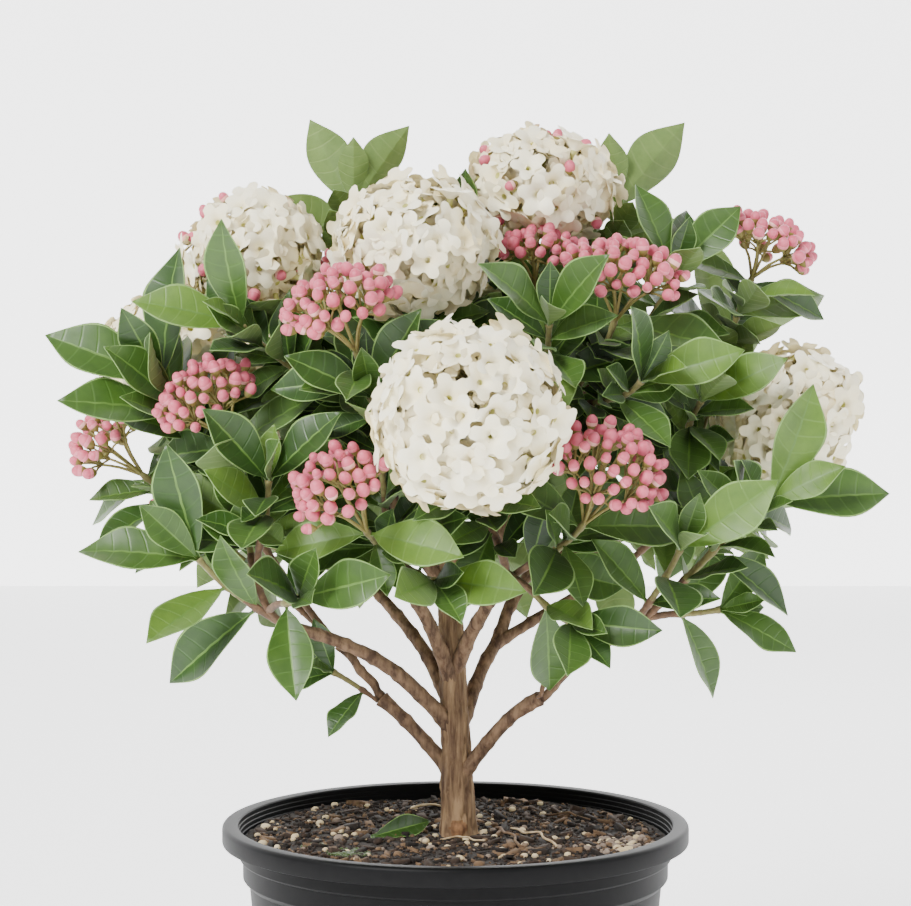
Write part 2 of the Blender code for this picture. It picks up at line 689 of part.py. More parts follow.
def make_soil(earth):
    low = FLOOR_THICKNESS + GAP
    profile = [
        (0, SOIL_LEVEL),
        (wall_inside(COLLAR_FOOT) + (SOIL_LEVEL - COLLAR_FOOT) * 0.2 - GAP, SOIL_LEVEL),
        (wall_inside(COLLAR_FOOT) - GAP, COLLAR_FOOT),
        (wall_inside(low) - GAP, low),
        (0, low),
    ]
    soil = turned("soil", profile, earth)
    apply_modifiers(soil)
    return soil


def leaf_mesh(leaf):
    """An arched blade with a six-cornered outline and a keel under it, thick at its root."""
    root, way, normal, length, width = leaf
    side = way.cross(normal)
    bm = bmesh.new()

    def corner(share, across, rise):
        on_blade = root + way * length * share + side * width * across
        return bm.verts.new(on_blade + normal * (rise - arch(leaf, share)))

    top = corner(0, 0, LEAF_ROOT_DEPTH * 0.5)
    low = corner(0, 0, LEAF_ROOT_DEPTH * -0.5)
    keel = corner(0.5, 0, -LEAF_KEEL)
    tip = corner(1, 0, 0)
    near = [corner(0.33, hand * 0.46, 0) for hand in (-1, 1)]
    far = [corner(0.70, hand * 0.38, 0) for hand in (-1, 1)]
    for face in ((top, *near), (near[0], far[0], far[1], near[1]), (far[0], tip, far[1])):
        bm.faces.new(face)
    for k in (0, 1):
        bm.faces.new((top, low, near[k]))
        bm.faces.new((low, keel, near[k]))
        bm.faces.new((near[k], keel, far[k]))
        bm.faces.new((far[k], keel, tip))
    return bm


def head_points(count, lowest):
    """Directions spread evenly over a ball from its top down to this height."""
    points = []
    for i in range(count):
        rise = 1 - (1 - lowest) * (i + 0.5) / count
        ring = math.sqrt(max(0, 1 - rise * rise))
        turn = i * GOLDEN_ANGLE
        points.append(Vector((ring * math.cos(turn), ring * math.sin(turn), rise)))
    return points


def turned_to(way):
    return way.to_track_quat("Z", "Y").to_matrix()


def white_mesh(centre, way, size, seed):
    """A ball of open flowers, as a hull with one corner for each flower, some further out."""
    rng = random.Random(seed)
    frame = turned_to(way)
    bm = bmesh.new()
    for point in head_points(WHITE_POINTS, -1):
        on_ball = Vector((point.x * size[0], point.y * size[0], point.z * size[1])) * 0.5
        bm.verts.new(centre + frame @ on_ball)
    hull = bmesh.ops.convex_hull(bm, input=bm.verts)
    bmesh.ops.delete(bm, geom=list(set(hull["geom_interior"] + hull["geom_unused"])), context="VERTS")
    for vert in bm.verts:
        vert.co = centre + (vert.co - centre) * (1 - rng.uniform(0, 2 * WHITE_ROUGHNESS))
    return bm


def cluster_mesh(centre, way, size, seed):
    """A flat-topped dome of buds, as a hull with one corner for each bud."""
    rng = random.Random(seed)
    frame = turned_to(way)
    bm = bmesh.new()
    for point in head_points(CLUSTER_POINTS, CLUSTER_LOWEST):
        reach = rng.uniform(0.92, 1.0) * 0.5
        on_dome = Vector((point.x * size[0], point.y * size[0], point.z * size[1])) * reach
        bm.verts.new(centre + frame @ on_dome)
    hull = bmesh.ops.convex_hull(bm, input=bm.verts)
    bmesh.ops.delete(bm, geom=list(set(hull["geom_interior"] + hull["geom_unused"])), context="VERTS")
    return bm


def ray_meshes(foot, centre, way, size):
    """The stalks that fan out from the twig's tip into the cluster."""
    frame = turned_to(way)
    for k in range(CLUSTER_RAYS):
        turn = math.tau * k / CLUSTER_RAYS
        end = centre + frame @ Vector((math.cos(turn), math.sin(turn), 0.1)) * size[0] * RAY_SPREAD
        bm = bmesh.new()
        tube(bm, [foot - way * RAY_SINK, end], lambda i, _: RAY_RADIUS, TWIG_SIDES)
        yield bm


def make_mass(name, twigs, leaves, material):
    """Joins a mass's twigs, leaves, heads and clusters into one solid by one union."""
    pieces = []
    stem = None
    for number, (path, foot_radius, centre, kind, size, way, _, _) in enumerate(twigs):
        radii = twig_radii(path, foot_radius)
        if kind == WHITE:
            path = path + [centre.copy()]
            radii = radii + [TWIG_RADIUS]
        bm = bmesh.new()
        tube(bm, path, lambda i, _: radii[i], TWIG_SIDES)
        twig = new_object(f"{name}_twig", bm, material)
        if stem is None:
            stem = twig
        else:
            pieces.append(twig)
        seed = 7 * number + len(name)
        if kind == WHITE:
            pieces.append(new_object(f"{name}_head", white_mesh(centre, way, size, seed), material))
        if kind == BUDS:
            pieces.append(new_object(f"{name}_head", cluster_mesh(centre, way, size, seed), material))
            foot = path[-1]
            rays = ray_meshes(foot, centre, way, size)
            pieces += [new_object(f"{name}_ray", ray, material) for ray in rays]
    pieces += [new_object(f"{name}_leaf", leaf_mesh(leaf), material) for leaf in leaves]
    joined = bpy.data.collections.new(f"{name}_pieces")
    bpy.context.scene.collection.children.link(joined)
    for piece in pieces:
        bpy.context.scene.collection.objects.unlink(piece)
        joined.objects.link(piece)
    modifier = stem.modifiers.new("join", "BOOLEAN")
    modifier.operation = "UNION"
    modifier.operand_type = "COLLECTION"
    modifier.collection = joined
    modifier.solver = "MANIFOLD"
    apply_modifiers(stem)
    for piece in pieces:
        bpy.data.objects.remove(piece)
    bpy.data.collections.remove(joined)
    stem.name = name
    drop_scraps(stem)
    return stem


def drop_scraps(obj):
    """Keeps the largest connected piece of the mesh."""
    bm = bmesh.new()
    bm.from_mesh(obj.data)
    left = set(bm.verts)
    bodies = []
    while left:
        body = {left.pop()}
        edge_of = list(body)
        while edge_of:
            vert = edge_of.pop()
            for edge in vert.link_edges:
                other = edge.other_vert(vert)
                if other in left:
                    left.remove(other)
                    body.add(other)
                    edge_of.append(other)
        bodies.append(body)
    bodies.sort(key=len)
    scraps = [vert for body in bodies[:-1] for vert in body]
    if scraps:
        print(f"{obj.name}: {len(bodies) - 1} scraps dropped")
    bmesh.ops.delete(bm, geom=scraps, context="VERTS")
    bm.to_mesh(obj.data)
    bm.free()


def main():
    for obj in list(bpy.data.objects):
        bpy.data.objects.remove(obj)
    plastic = new_material("black_plastic", (0.022, 0.023, 0.025), 0.42)
    earth = new_material("soil", (0.045, 0.028, 0.018), 0.95)
    bark = new_material("bark", (0.16, 0.10, 0.065), 0.85)
    green = new_material("leaf_green", (0.075, 0.18, 0.035), 0.5)
    paths = bough_paths()
    masses = mass_twigs(paths)
    leaves = grow_leaves(paths, masses)
    make_pot(plastic)
    make_soil(earth)
    make_trunk(paths["trunk"], bark)
    for name in BOUGHS:
        make_bough(name, paths, bark)
    for name, twigs in masses.items():
        make_mass(name, twigs, leaves[name], green)


if __name__ == "__main__":
    main()
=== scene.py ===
# %% [markdown]
# # A flowering viburnum in its nursery pot
# The real thing is a young shrub: a short woody trunk, boughs that fork low down, thin shoots
# with pairs of oval leaves, white balls of open flowers and pink clusters of buds. Its solids
# come as a fixed frame. This lesson dresses them: bark in place of the plain limbs, single
# leaves, flowers and buds in place of the joined masses, and grit on the soil.

# %% Load the frame
import itertools
import math
import random

import bpy
import numpy as np
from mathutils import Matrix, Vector, noise


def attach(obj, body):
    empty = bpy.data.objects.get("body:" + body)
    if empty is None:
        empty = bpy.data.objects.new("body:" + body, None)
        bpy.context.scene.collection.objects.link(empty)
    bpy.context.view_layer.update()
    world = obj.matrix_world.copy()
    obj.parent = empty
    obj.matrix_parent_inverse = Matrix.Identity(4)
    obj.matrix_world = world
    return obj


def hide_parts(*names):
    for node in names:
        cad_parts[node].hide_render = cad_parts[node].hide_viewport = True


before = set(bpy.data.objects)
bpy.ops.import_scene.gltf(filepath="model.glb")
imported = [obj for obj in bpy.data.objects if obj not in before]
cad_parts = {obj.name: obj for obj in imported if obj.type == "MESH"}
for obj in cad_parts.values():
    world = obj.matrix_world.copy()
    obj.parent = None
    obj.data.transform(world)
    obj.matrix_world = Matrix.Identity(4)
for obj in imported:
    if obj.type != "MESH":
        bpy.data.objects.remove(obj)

MM = 0.001
GAP = 0.3  # left between two pieces that touch
RIGHT, UP = Vector((1, 0, 0)), Vector((0, 0, 1))


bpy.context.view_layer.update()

# %% [markdown]
# ## Camera, light and paper
# The photograph was taken from about a metre in front, a little above the middle of the plant,
# with a long lens, so that the rim of the pot shows as a thin oval. The width of that oval and
# the size of the rim gave the distance and the tilt. A studio has large soft lamps and bright
# paper below and behind, so three area lights, a grey world and two glowing sheets are used
# rather than a sun, which would cast hard shadows.

# %% Camera
CAMERA_PLACE = Vector((0, -1000, 340.76))
CAMERA_TILT = 2.318  # degrees that it looks down
FOCAL_LENGTH, SENSOR_WIDTH = 97.38, 36


def show(name, data):
    """A new object in the scene with this data."""
    obj = bpy.data.objects.new(name, data)
    bpy.context.scene.collection.objects.link(obj)
    return obj


camera = show("camera", bpy.data.cameras.new("camera"))
camera.data.lens = FOCAL_LENGTH
camera.data.sensor_width = SENSOR_WIDTH
camera.data.clip_start = 0.01
camera.location = CAMERA_PLACE * MM
camera.rotation_euler = (math.radians(90 - CAMERA_TILT), 0, 0)
bpy.context.scene.camera = camera
print("camera stands", round(-camera.location.y, 2), "m in front")

# %% Lamps and the world
# A lamp's row: its name, its place and the height that it shines at, its size and its power.
LAMPS = (
    ("key_light", (-0.9, -1.1, 1.35), 0.3, 0.6, 52),
    ("fill_light", (1.3, -0.9, 0.9), 0.28, 1.0, 10),
    ("back_light", (0.5, 1.3, 1.2), 0.3, 0.9, 12),
)
WORLD_GREY = (0.46, 0.46, 0.47, 1)

for name, place, target, size, power in LAMPS:
    lamp = bpy.data.lights.new(name, "AREA")
    lamp.size = size
    lamp.energy = power
    holder = show(name, lamp)
    holder.location = place
    holder.rotation_euler = (UP * target - Vector(place)).to_track_quat("-Z", "Y").to_euler()

world = bpy.data.worlds.new("studio")
world.use_nodes = True
world.node_tree.nodes["Background"].inputs["Color"].default_value = WORLD_GREY
bpy.context.scene.world = world
print(len(LAMPS), "lamps")

# %% Paper below and behind
PAPER_SIZE, BACKDROP_PLACE = 12, 2.6
FLOOR_GLOW, BACKDROP_GLOW = 1.25, 2.5
PAPER_WHITE = (0.86, 0.86, 0.86, 1)


def start_shape():
    """Nothing may be selected when a primitive is added, because operators act on all that is."""
    bpy.ops.object.select_all(action="DESELECT")


def new_material(name):
    """A material and its Principled shader."""
    material = bpy.data.materials.new(name)
    material.use_nodes = True
    return material, material.node_tree.nodes["Principled BSDF"]


def paper_sheet(name, glow, place, tilt):
    """A sheet of white paper that is lit through from behind."""
    start_shape()
    bpy.ops.mesh.primitive_plane_add(size=PAPER_SIZE, location=place, rotation=(tilt, 0, 0))
    sheet = bpy.context.object
    sheet.name = name
    material, shader = new_material(name + "_paper")
    shader.inputs["Base Color"].default_value = PAPER_WHITE
    shader.inputs["Roughness"].default_value = 0.9
    shader.inputs["Emission Color"].default_value = (1, 1, 1, 1)
    shader.inputs["Emission Strength"].default_value = glow
    sheet.data.materials.append(material)
    print(name, "glows", glow)


paper_sheet("floor", FLOOR_GLOW, (0, 0, 0), 0)
paper_sheet("backdrop", BACKDROP_GLOW, (0, BACKDROP_PLACE, 0), math.radians(90))

# %% [markdown]
# ## Finishes
# No natural surface is one flat colour. A small node group mixes two colours by a noise on the
# piece's own Object coordinates and gives a height for a Bump node as well. Every material below
# uses that one group with its own colours and its own grain size, and keeps its shader outside
# the group. Leaves get a second group, which draws their side veins from the leaf's UV map.

# %% The mottle and vein groups
def add_node(tree, kind, values=(), **settings):
    """A shader node with these settings, and with these values on its inputs."""
    node = tree.nodes.new("ShaderNode" + kind)
    for name, setting in settings.items():
        setattr(node, name, setting)
    for label, value in dict(values).items():
        node.inputs[label].default_value = value
    return node


def wire(tree, *wires):
    """Each wire runs from a node's output to another node's input."""
    for start, output, end, into in wires:
        tree.links.new(start.outputs[output], end.inputs[into])


def new_group(name, colours, numbers, colours_out, numbers_out):
    """An empty group with these sockets, its input node and its output node."""
    group = bpy.data.node_groups.new(name, "ShaderNodeTree")
    for side, labels, kind in (("INPUT", colours, "Color"), ("INPUT", numbers, "Float"),
                               ("OUTPUT", colours_out, "Color"), ("OUTPUT", numbers_out, "Float")):
        for label in labels:
            group.interface.new_socket(label, in_out=side, socket_type="NodeSocket" + kind)
    return group, group.nodes.new("NodeGroupInput"), group.nodes.new("NodeGroupOutput")


def make_mottle():
    """Two colours parted by a noise. Stretch below one draws the noise out upwards."""
    group, given, out = new_group("mottle", ("Main", "Spot"), ("Scale", "Sharpness", "Stretch"),
                                  ("Color",), ("Height",))
    place = add_node(group, "TexCoord")
    shares = add_node(group, "CombineXYZ", {"X": 1.0, "Y": 1.0})
    longer = add_node(group, "VectorMath", operation="MULTIPLY")
    cloud = add_node(group, "TexNoise", {"Detail": 6, "Roughness": 0.6})
    centred = add_node(group, "Math", {1: 0.5}, operation="SUBTRACT")
    sharper = add_node(group, "Math", {2: 0.5}, operation="MULTIPLY_ADD", use_clamp=True)
    mix = add_node(group, "Mix", data_type="RGBA")
    wire(group, (place, "Object", longer, 0), (given, "Stretch", shares, "Z"),
         (shares, 0, longer, 1), (longer, 0, cloud, "Vector"), (given, "Scale", cloud, "Scale"),
         (cloud, "Fac", centred, 0), (centred, 0, sharper, 0), (given, "Sharpness", sharper, 1),
         (sharper, 0, mix, "Factor"), (given, "Main", mix, "A"), (given, "Spot", mix, "B"),
         (mix, "Result", out, "Color"), (cloud, "Fac", out, "Height"))
    return group


def make_veins():
    """Side veins at even steps along the blade, where the mesh's own rows lie."""
    group, given, out = new_group("side_veins", (), ("Veins",), (), ("Vein",))
    place = add_node(group, "UVMap", uv_map="UVMap")
    apart = add_node(group, "SeparateXYZ")
    count = add_node(group, "Math", operation="MULTIPLY")
    wave = add_node(group, "Math", {1: 0.5}, operation="PINGPONG")
    line = add_node(group, "MapRange", {"From Min": 0.10, "From Max": 0.0}, interpolation_type="SMOOTHSTEP")
    wire(group, (place, "UV", apart, 0), (apart, "Y", count, 0), (given, "Veins", count, 1),
         (count, 0, wave, 0), (wave, 0, line, "Value"), (line, "Result", out, "Vein"))
    return group


MOTTLE, SIDE_VEINS = make_mottle(), make_veins()
print("groups:", MOTTLE.name, SIDE_VEINS.name)

# %% A finish from two colours
LEAF_VEINS = 7  # pairs of side veins on a blade
VEIN_TINT = 0.30
BUMP_STRENGTH = 0.6


def from_screen(*levels):
    """A colour as it looks on a screen, 0 to 255, as the shader's own numbers."""
    shares = [level / 255 for level in levels]
    return [share / 12.92 if share < 0.04045 else ((share + 0.055) / 1.055) ** 2.4 for share in shares] + [1]


def new_finish(name, main, spot, roughness, scale, bump, sharpness=3.0, sheen=0.0, stretch=1.0,
               vein=None):
    """A material that mottles one colour with another and raises its surface a little."""
    material, shader = new_material(name)
    tree = material.node_tree
    shader.inputs["Roughness"].default_value = roughness
    shader.inputs["Sheen Weight"].default_value = sheen
    grain = add_node(tree, "Group", node_tree=MOTTLE)
    for label, value in (("Main", from_screen(*main)), ("Spot", from_screen(*spot)), ("Scale", scale),
                         ("Sharpness", sharpness), ("Stretch", stretch)):
        grain.inputs[label].default_value = value
    raised = add_node(tree, "Bump", {"Strength": BUMP_STRENGTH, "Distance": bump * MM})
    wire(tree, (raised, "Normal", shader, "Normal"))
    if vein is None:
        wire(tree, (grain, "Color", shader, "Base Color"), (grain, "Height", raised, "Height"))
        return material
    veins = add_node(tree, "Group", node_tree=SIDE_VEINS)
    veins.inputs["Veins"].default_value = LEAF_VEINS
    tint = add_node(tree, "Mix", data_type="RGBA")
    tint.inputs["B"].default_value = from_screen(*vein)
    faint = add_node(tree, "Math", {1: VEIN_TINT}, operation="MULTIPLY")
    sunk = add_node(tree, "Math", operation="SUBTRACT")
    wire(tree, (veins, "Vein", faint, 0), (faint, 0, tint, "Factor"), (grain, "Color", tint, "A"),
         (tint, "Result", shader, "Base Color"), (grain, "Height", sunk, 0), (veins, "Vein", sunk, 1),
         (sunk, 0, raised, "Height"))
    return material


print("veins on a leaf:", LEAF_VEINS)

# %% [markdown]
# ## Joining many small shapes
# A shrub has hundreds of leaves and more than a thousand flowers. Each as an object of its own
# would be slow and would make a long list of pieces. Instead one leaf, flower, bud or crumb is
# modelled, its mesh is read as arrays, and copies of those arrays, each moved and bent
# in its own way, are gathered into one mesh.

# %% Arrays into pieces
def place_piece(obj, replaced=()):
    """Hangs a piece on the root and hides the solids that it stands for."""
    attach(obj, "root")
    if replaced:
        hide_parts(*replaced)


class Joined:
    """Gathers shapes as arrays, in millimetres, and makes one object of them."""

    def __init__(self):
        self.shapes = []
        self.count = 0

    def add(self, points, corners, sizes, slots, uvs=None):
        """One more shape. Slots is a material's number, or one for each face."""
        uvs = np.zeros((len(corners), 2)) if uvs is None else uvs
        slots = np.broadcast_to(slots, len(sizes))
        self.shapes.append((points, corners + self.count, sizes, slots, uvs))
        self.count += len(points)

    def make(self, name, materials, slot, replaced=()):
        """The finished piece, in metres."""
        points, corners, sizes, slots, uvs = (np.concatenate(part) for part in zip(*self.shapes))
        mesh = bpy.data.meshes.new(name)
        mesh.vertices.add(len(points))
        mesh.vertices.foreach_set("co", (points * MM).ravel().astype(np.float32))
        mesh.loops.add(len(corners))
        mesh.loops.foreach_set("vertex_index", corners.astype(np.int32))
        mesh.polygons.add(len(sizes))
        mesh.polygons.foreach_set("loop_start", (np.cumsum(sizes) - sizes).astype(np.int32))
        mesh.polygons.foreach_set("material_index", slots.astype(np.int32))
        mesh.polygons.foreach_set("use_smooth", np.ones(len(sizes), dtype=bool))
        mesh.uv_layers.new(name="UVMap").data.foreach_set("uv", uvs.ravel().astype(np.float32))
        mesh.update(calc_edges=True)
        mesh.validate()
        for material in materials:
            mesh.materials.append(material)
        place_piece(show(name, mesh), replaced)
        print(name, int((sizes - 2).sum()), "triangles")


# %% Shapes into arrays
def edit_all():
    """Opens the active shape with all of it selected."""
    bpy.ops.object.mode_set(mode="EDIT")
    bpy.ops.mesh.select_all(action="SELECT")


def read_shape():
    """The active shape as arrays of points, corners and face sizes. The object goes."""
    if bpy.context.object.mode == "EDIT":
        bpy.ops.object.mode_set(mode="OBJECT")
    obj = bpy.context.object
    points = np.empty(len(obj.data.vertices) * 3)
    corners = np.empty(len(obj.data.loops), dtype=np.int64)
    sizes = np.empty(len(obj.data.polygons), dtype=np.int64)
    obj.data.vertices.foreach_get("co", points)
    obj.data.loops.foreach_get("vertex_index", corners)
    obj.data.polygons.foreach_get("loop_total", sizes)
    bpy.data.objects.remove(obj)
    return points.reshape(-1, 3), corners, sizes


def by_face(choose, values, corners, sizes):
    """The least or the greatest value at each face's corners."""
    return choose.reduceat(values[corners], np.cumsum(sizes) - sizes)


def turned_to(way):
    """The turn that brings the upright to this way."""
    return way.to_track_quat("Z", "Y").to_matrix()


def spun(way, turn):
    """The same, after a turn about the upright."""
    cos, sin = math.cos(turn), math.sin(turn)
    return np.array(turned_to(way)) @ np.array(((cos, -sin, 0), (sin, cos, 0), (0, 0, 1)))


# %% [markdown]
# ## The pot
# A nursery pot is blown or moulded from thin black plastic: a rolled lip that is easy to grip,
# a stepped collar under it, a wall that tapers so that pots stack, and drain holes in the floor.
# A lathe profile suits it. Here the profile is walked from the underside up the outside, over
# the lip and down inside, by extruding one ring of edges and scaling it at each step. The ring
# starts at the origin, at height zero, so that the finished pot sits there too.

# %% Pot sizes
POT_HEIGHT = 150.0
LIP_RADIUS, LIP_DEPTH, LIP_WIDTH, LIP_ROUND = 95.0, 7.5, 6.5, 1.8
COLLAR_RADIUS, COLLAR_FOOT = 88.0, 136.0
BAND_RADIUS, BAND_FOOT = 86.6, 126.0
WALL_RADIUS, WALL_THICKNESS = 84.0, 1.6
FOOT_RADIUS, FOOT_ROUND = 72.0, 2.5
FLOOR_THICKNESS = 2.4
DRAIN_HOLES, DRAIN_RADIUS, DRAIN_RING = 8, 5.0, 57.0
POT_SEGMENTS, HOLE_SEGMENTS, LIP_STEPS = 144, 32, 6
SOIL_LEVEL = POT_HEIGHT - 8.0
INNER_RINGS, RING_GAP, RING_STEP = 4, 1.9, 0.35  # fine ridges on the wall under the lip
SHARP_ANGLE = math.radians(28)


def wall_inside(height):
    """The radius of the pot's inner wall at a height under the collar."""
    share = (height - FLOOR_THICKNESS) / (COLLAR_FOOT - FLOOR_THICKNESS)
    low = FOOT_RADIUS - WALL_THICKNESS - 0.6
    return low + (BAND_RADIUS - WALL_THICKNESS - low) * share


def pot_profile():
    """Points (radius, height) from the underside over the lip to the floor inside.

    The small bare numbers round an edge or slope a step.
    """
    lip_foot = POT_HEIGHT - LIP_DEPTH
    lip_inside = LIP_RADIUS - LIP_WIDTH
    points = [(FOOT_RADIUS - FOOT_ROUND, 0), (FOOT_RADIUS - 0.6, 0.5), (FOOT_RADIUS + 0.3, FOOT_ROUND)]
    points += [(WALL_RADIUS, BAND_FOOT), (WALL_RADIUS + 0.5, BAND_FOOT + 0.25)]
    points += [(BAND_RADIUS - 0.4, BAND_FOOT + 2.0), (BAND_RADIUS, BAND_FOOT + 2.6)]
    points += [(BAND_RADIUS, COLLAR_FOOT - 0.2), (COLLAR_RADIUS - 0.4, COLLAR_FOOT + 0.2)]
    points += [(COLLAR_RADIUS, COLLAR_FOOT + 0.8), (COLLAR_RADIUS, lip_foot - 0.3)]
    points += [(COLLAR_RADIUS + 0.3, lip_foot), (LIP_RADIUS - 0.8, lip_foot)]
    points += [(LIP_RADIUS - 0.2, lip_foot + 0.25), (LIP_RADIUS, lip_foot + 0.8)]
    for step in range(LIP_STEPS + 1):
        angle = math.radians(90 * step / LIP_STEPS)
        points.append((LIP_RADIUS - LIP_ROUND + LIP_ROUND * math.cos(angle),
                       POT_HEIGHT - LIP_ROUND + LIP_ROUND * math.sin(angle)))
    points += [(lip_inside + 1.2, POT_HEIGHT), (lip_inside + 0.4, POT_HEIGHT - 0.2)]
    points += [(lip_inside, POT_HEIGHT - 0.7)]
    radius = lip_inside
    for ring in range(INNER_RINGS):
        height = POT_HEIGHT - 0.7 - RING_GAP * (ring + 1)
        radius -= RING_STEP
        points += [(radius + RING_STEP * 0.9, height + 0.3), (radius, height)]
    return points + [(wall_inside(height), height) for height in (COLLAR_FOOT, FLOOR_THICKNESS)]


# %% Model the pot
def cut_drain_holes(pot):
    """One cutter a hole, each applied and then removed."""
    for hole in range(DRAIN_HOLES):
        angle = math.radians((hole + 0.5) * 360 / DRAIN_HOLES)
        start_shape()
        bpy.ops.mesh.primitive_cylinder_add(
            vertices=HOLE_SEGMENTS, radius=DRAIN_RADIUS * MM, depth=FLOOR_THICKNESS * 3 * MM,
            location=(DRAIN_RING * math.sin(angle) * MM, -DRAIN_RING * math.cos(angle) * MM,
                      FLOOR_THICKNESS / 2 * MM))
        cutter = bpy.context.object
        bite = pot.modifiers.new("hole", "BOOLEAN")
        bite.operation = "DIFFERENCE"
        bite.object = cutter
        bpy.context.view_layer.objects.active = pot
        bpy.ops.object.modifier_apply(modifier="hole")
        bpy.data.objects.remove(cutter)


def model_pot(material):
    """The lathe profile, ring by ring, with its holes cut."""
    start_shape()
    profile = pot_profile()
    radius, height = profile[0]
    bpy.ops.mesh.primitive_circle_add(vertices=POT_SEGMENTS, radius=radius * MM, fill_type="NGON")
    pot = bpy.context.object
    pot.name = "moulded_pot"
    edit_all()
    bpy.ops.mesh.select_mode(type="EDGE")
    bpy.ops.mesh.region_to_loop()
    for new_radius, new_height in profile[1:]:
        rise = (new_height - height) * MM
        bpy.ops.mesh.extrude_edges_move(TRANSFORM_OT_translate={"value": (0, 0, rise)})
        share = new_radius / radius
        bpy.ops.transform.resize(value=(share, share, 1), center_override=(0, 0, 0))
        radius, height = new_radius, new_height
    bpy.ops.mesh.edge_face_add()
    bpy.ops.mesh.select_all(action="SELECT")
    bpy.ops.mesh.normals_make_consistent(inside=False)
    bpy.ops.object.mode_set(mode="OBJECT")
    cut_drain_holes(pot)
    pot.data.materials.append(material)
    start_shape()
    pot.select_set(True)
    bpy.context.view_layer.objects.active = pot
    bpy.ops.object.shade_smooth_by_angle(angle=SHARP_ANGLE)
    place_piece(pot, ["pot"])
    print("pot", len(pot.data.polygons), "faces")


PLASTIC_GLOSS = 0.13
black_plastic = new_finish("black_plastic", (12, 12, 13), (8, 8, 9), 0.50, 220, 0.05)
black_plastic.node_tree.nodes["Principled BSDF"].inputs["Specular IOR Level"].default_value = PLASTIC_GLOSS
model_pot(black_plastic)

# %% [markdown]
# ## Where everything grows
# The shrub's rule is the one that its solids were grown by. A row of the first table is a bough
# and a row of the second is a shoot, with what stands at its end. From these the paths of the
# limbs, the twigs and the place of every leaf follow, so that the fine leaves lie where the
# plain ones did.

# %% The trunk and the boughs
# The trunk: its axis leans a little to the left and back as it rises.
TRUNK_FOOT, TRUNK_TOP = SOIL_LEVEL + GAP, 268.0
TRUNK_START = Vector((1.2, -0.6, 0))
TRUNK_LEAN = Vector((-4.0, 3.4, 0))
TRUNK_SWAY, SWAY_ASIDE, SWAY_BACK = 0.7, 7.0, 5.0  # how far it sways, and how fast each way
TRUNK_FOOT_RADIUS, TRUNK_TOP_RADIUS = 7.0, 4.3
FLARE, FLARE_HEIGHT, FLARE_LOBES = 1.7, 7.0, 3  # the root flare where the trunk meets the soil
FLARE_TURN = 0.6  # the first lobe's angle from the right, in radians
FLARE_EVEN = 0.75  # the share of the flare that goes all the way round
FLUTING, FLUTES, FLUTE_TWIST = 0.28, 4, 3.0  # shallow grooves up the lower trunk
TRUNK_RINGS = 15

# Boughs. Each row: its parent, the share of the parent's length where it leaves, then its
# tip's bearing (degrees from the front towards the right), reach from the pot's axis and
# height, how far it bows above a straight line, and its radius at the foot and at the tip.
BOUGHS = {
    "bough_left_low": ("trunk", 0.19, -102, 31, 199, 1.5, 2.7, 3.1),
    "bough_left_low_outer": ("bough_left_low", 1.0, -101, 49, 221, 0.5, 1.9, 1.9),
    "bough_left_mid": ("trunk", 0.35, -67, 72, 233, 7.5, 3.3, 2.3),
    "bough_left_up": ("trunk", 0.50, -37, 38, 256, 2.5, 3.0, 2.5),
    "bough_right_low": ("trunk", 0.16, 60, 39, 203, 4.5, 2.7, 3.1),
    "bough_right_low_outer": ("bough_right_low", 1.0, 63, 73, 230, 2.5, 1.9, 2.5),
    "bough_right_fork": ("trunk", 0.54, 31, 35, 249, 2.5, 3.0, 2.6),
    "bough_right_up": ("trunk", 0.34, 142, 43, 241, 0.5, 3.1, 2.5),
    "bough_right_outer": ("bough_right_up", 0.62, 122, 86, 252, 0.0, 2.1, 1.9),
    "bough_back_left": ("trunk", 0.42, -140, 52, 240, 4.0, 3.0, 2.4),
    "bough_back": ("trunk", 0.50, -172, 46, 247, 3.0, 2.9, 2.3),
    "bough_upper_left": ("trunk", 0.80, -78, 31, 300, -4.0, 2.7, 2.1),
    "bough_upper_right": ("trunk", 0.76, 78, 32, 298, -4.0, 2.7, 2.1),
    "bough_top_right": ("trunk", 0.86, 122, 24, 312, -4.0, 2.4, 1.9),
    "bough_upper_back": ("trunk", 0.72, 178, 33, 298, -4.0, 2.7, 2.0),
}
BOUGH_RING_GAP, BOUGH_WANDER, BOUGH_SEED = 11.0, 0.5, 100
NODE_SWELL = 6  # how suddenly a limb swells into the node that two others grow from
FORK_OFFSET = 1.05  # how far off the swollen node's middle an outer bough stands
SPRIG_OFFSET = 2.25  # and a sprig stands on the node's other side
SPRIG_RADIUS = 0.85
SQUARE_START = 2.0  # a limb that meets another end to end starts straight for this length
print(len(BOUGHS), "boughs")

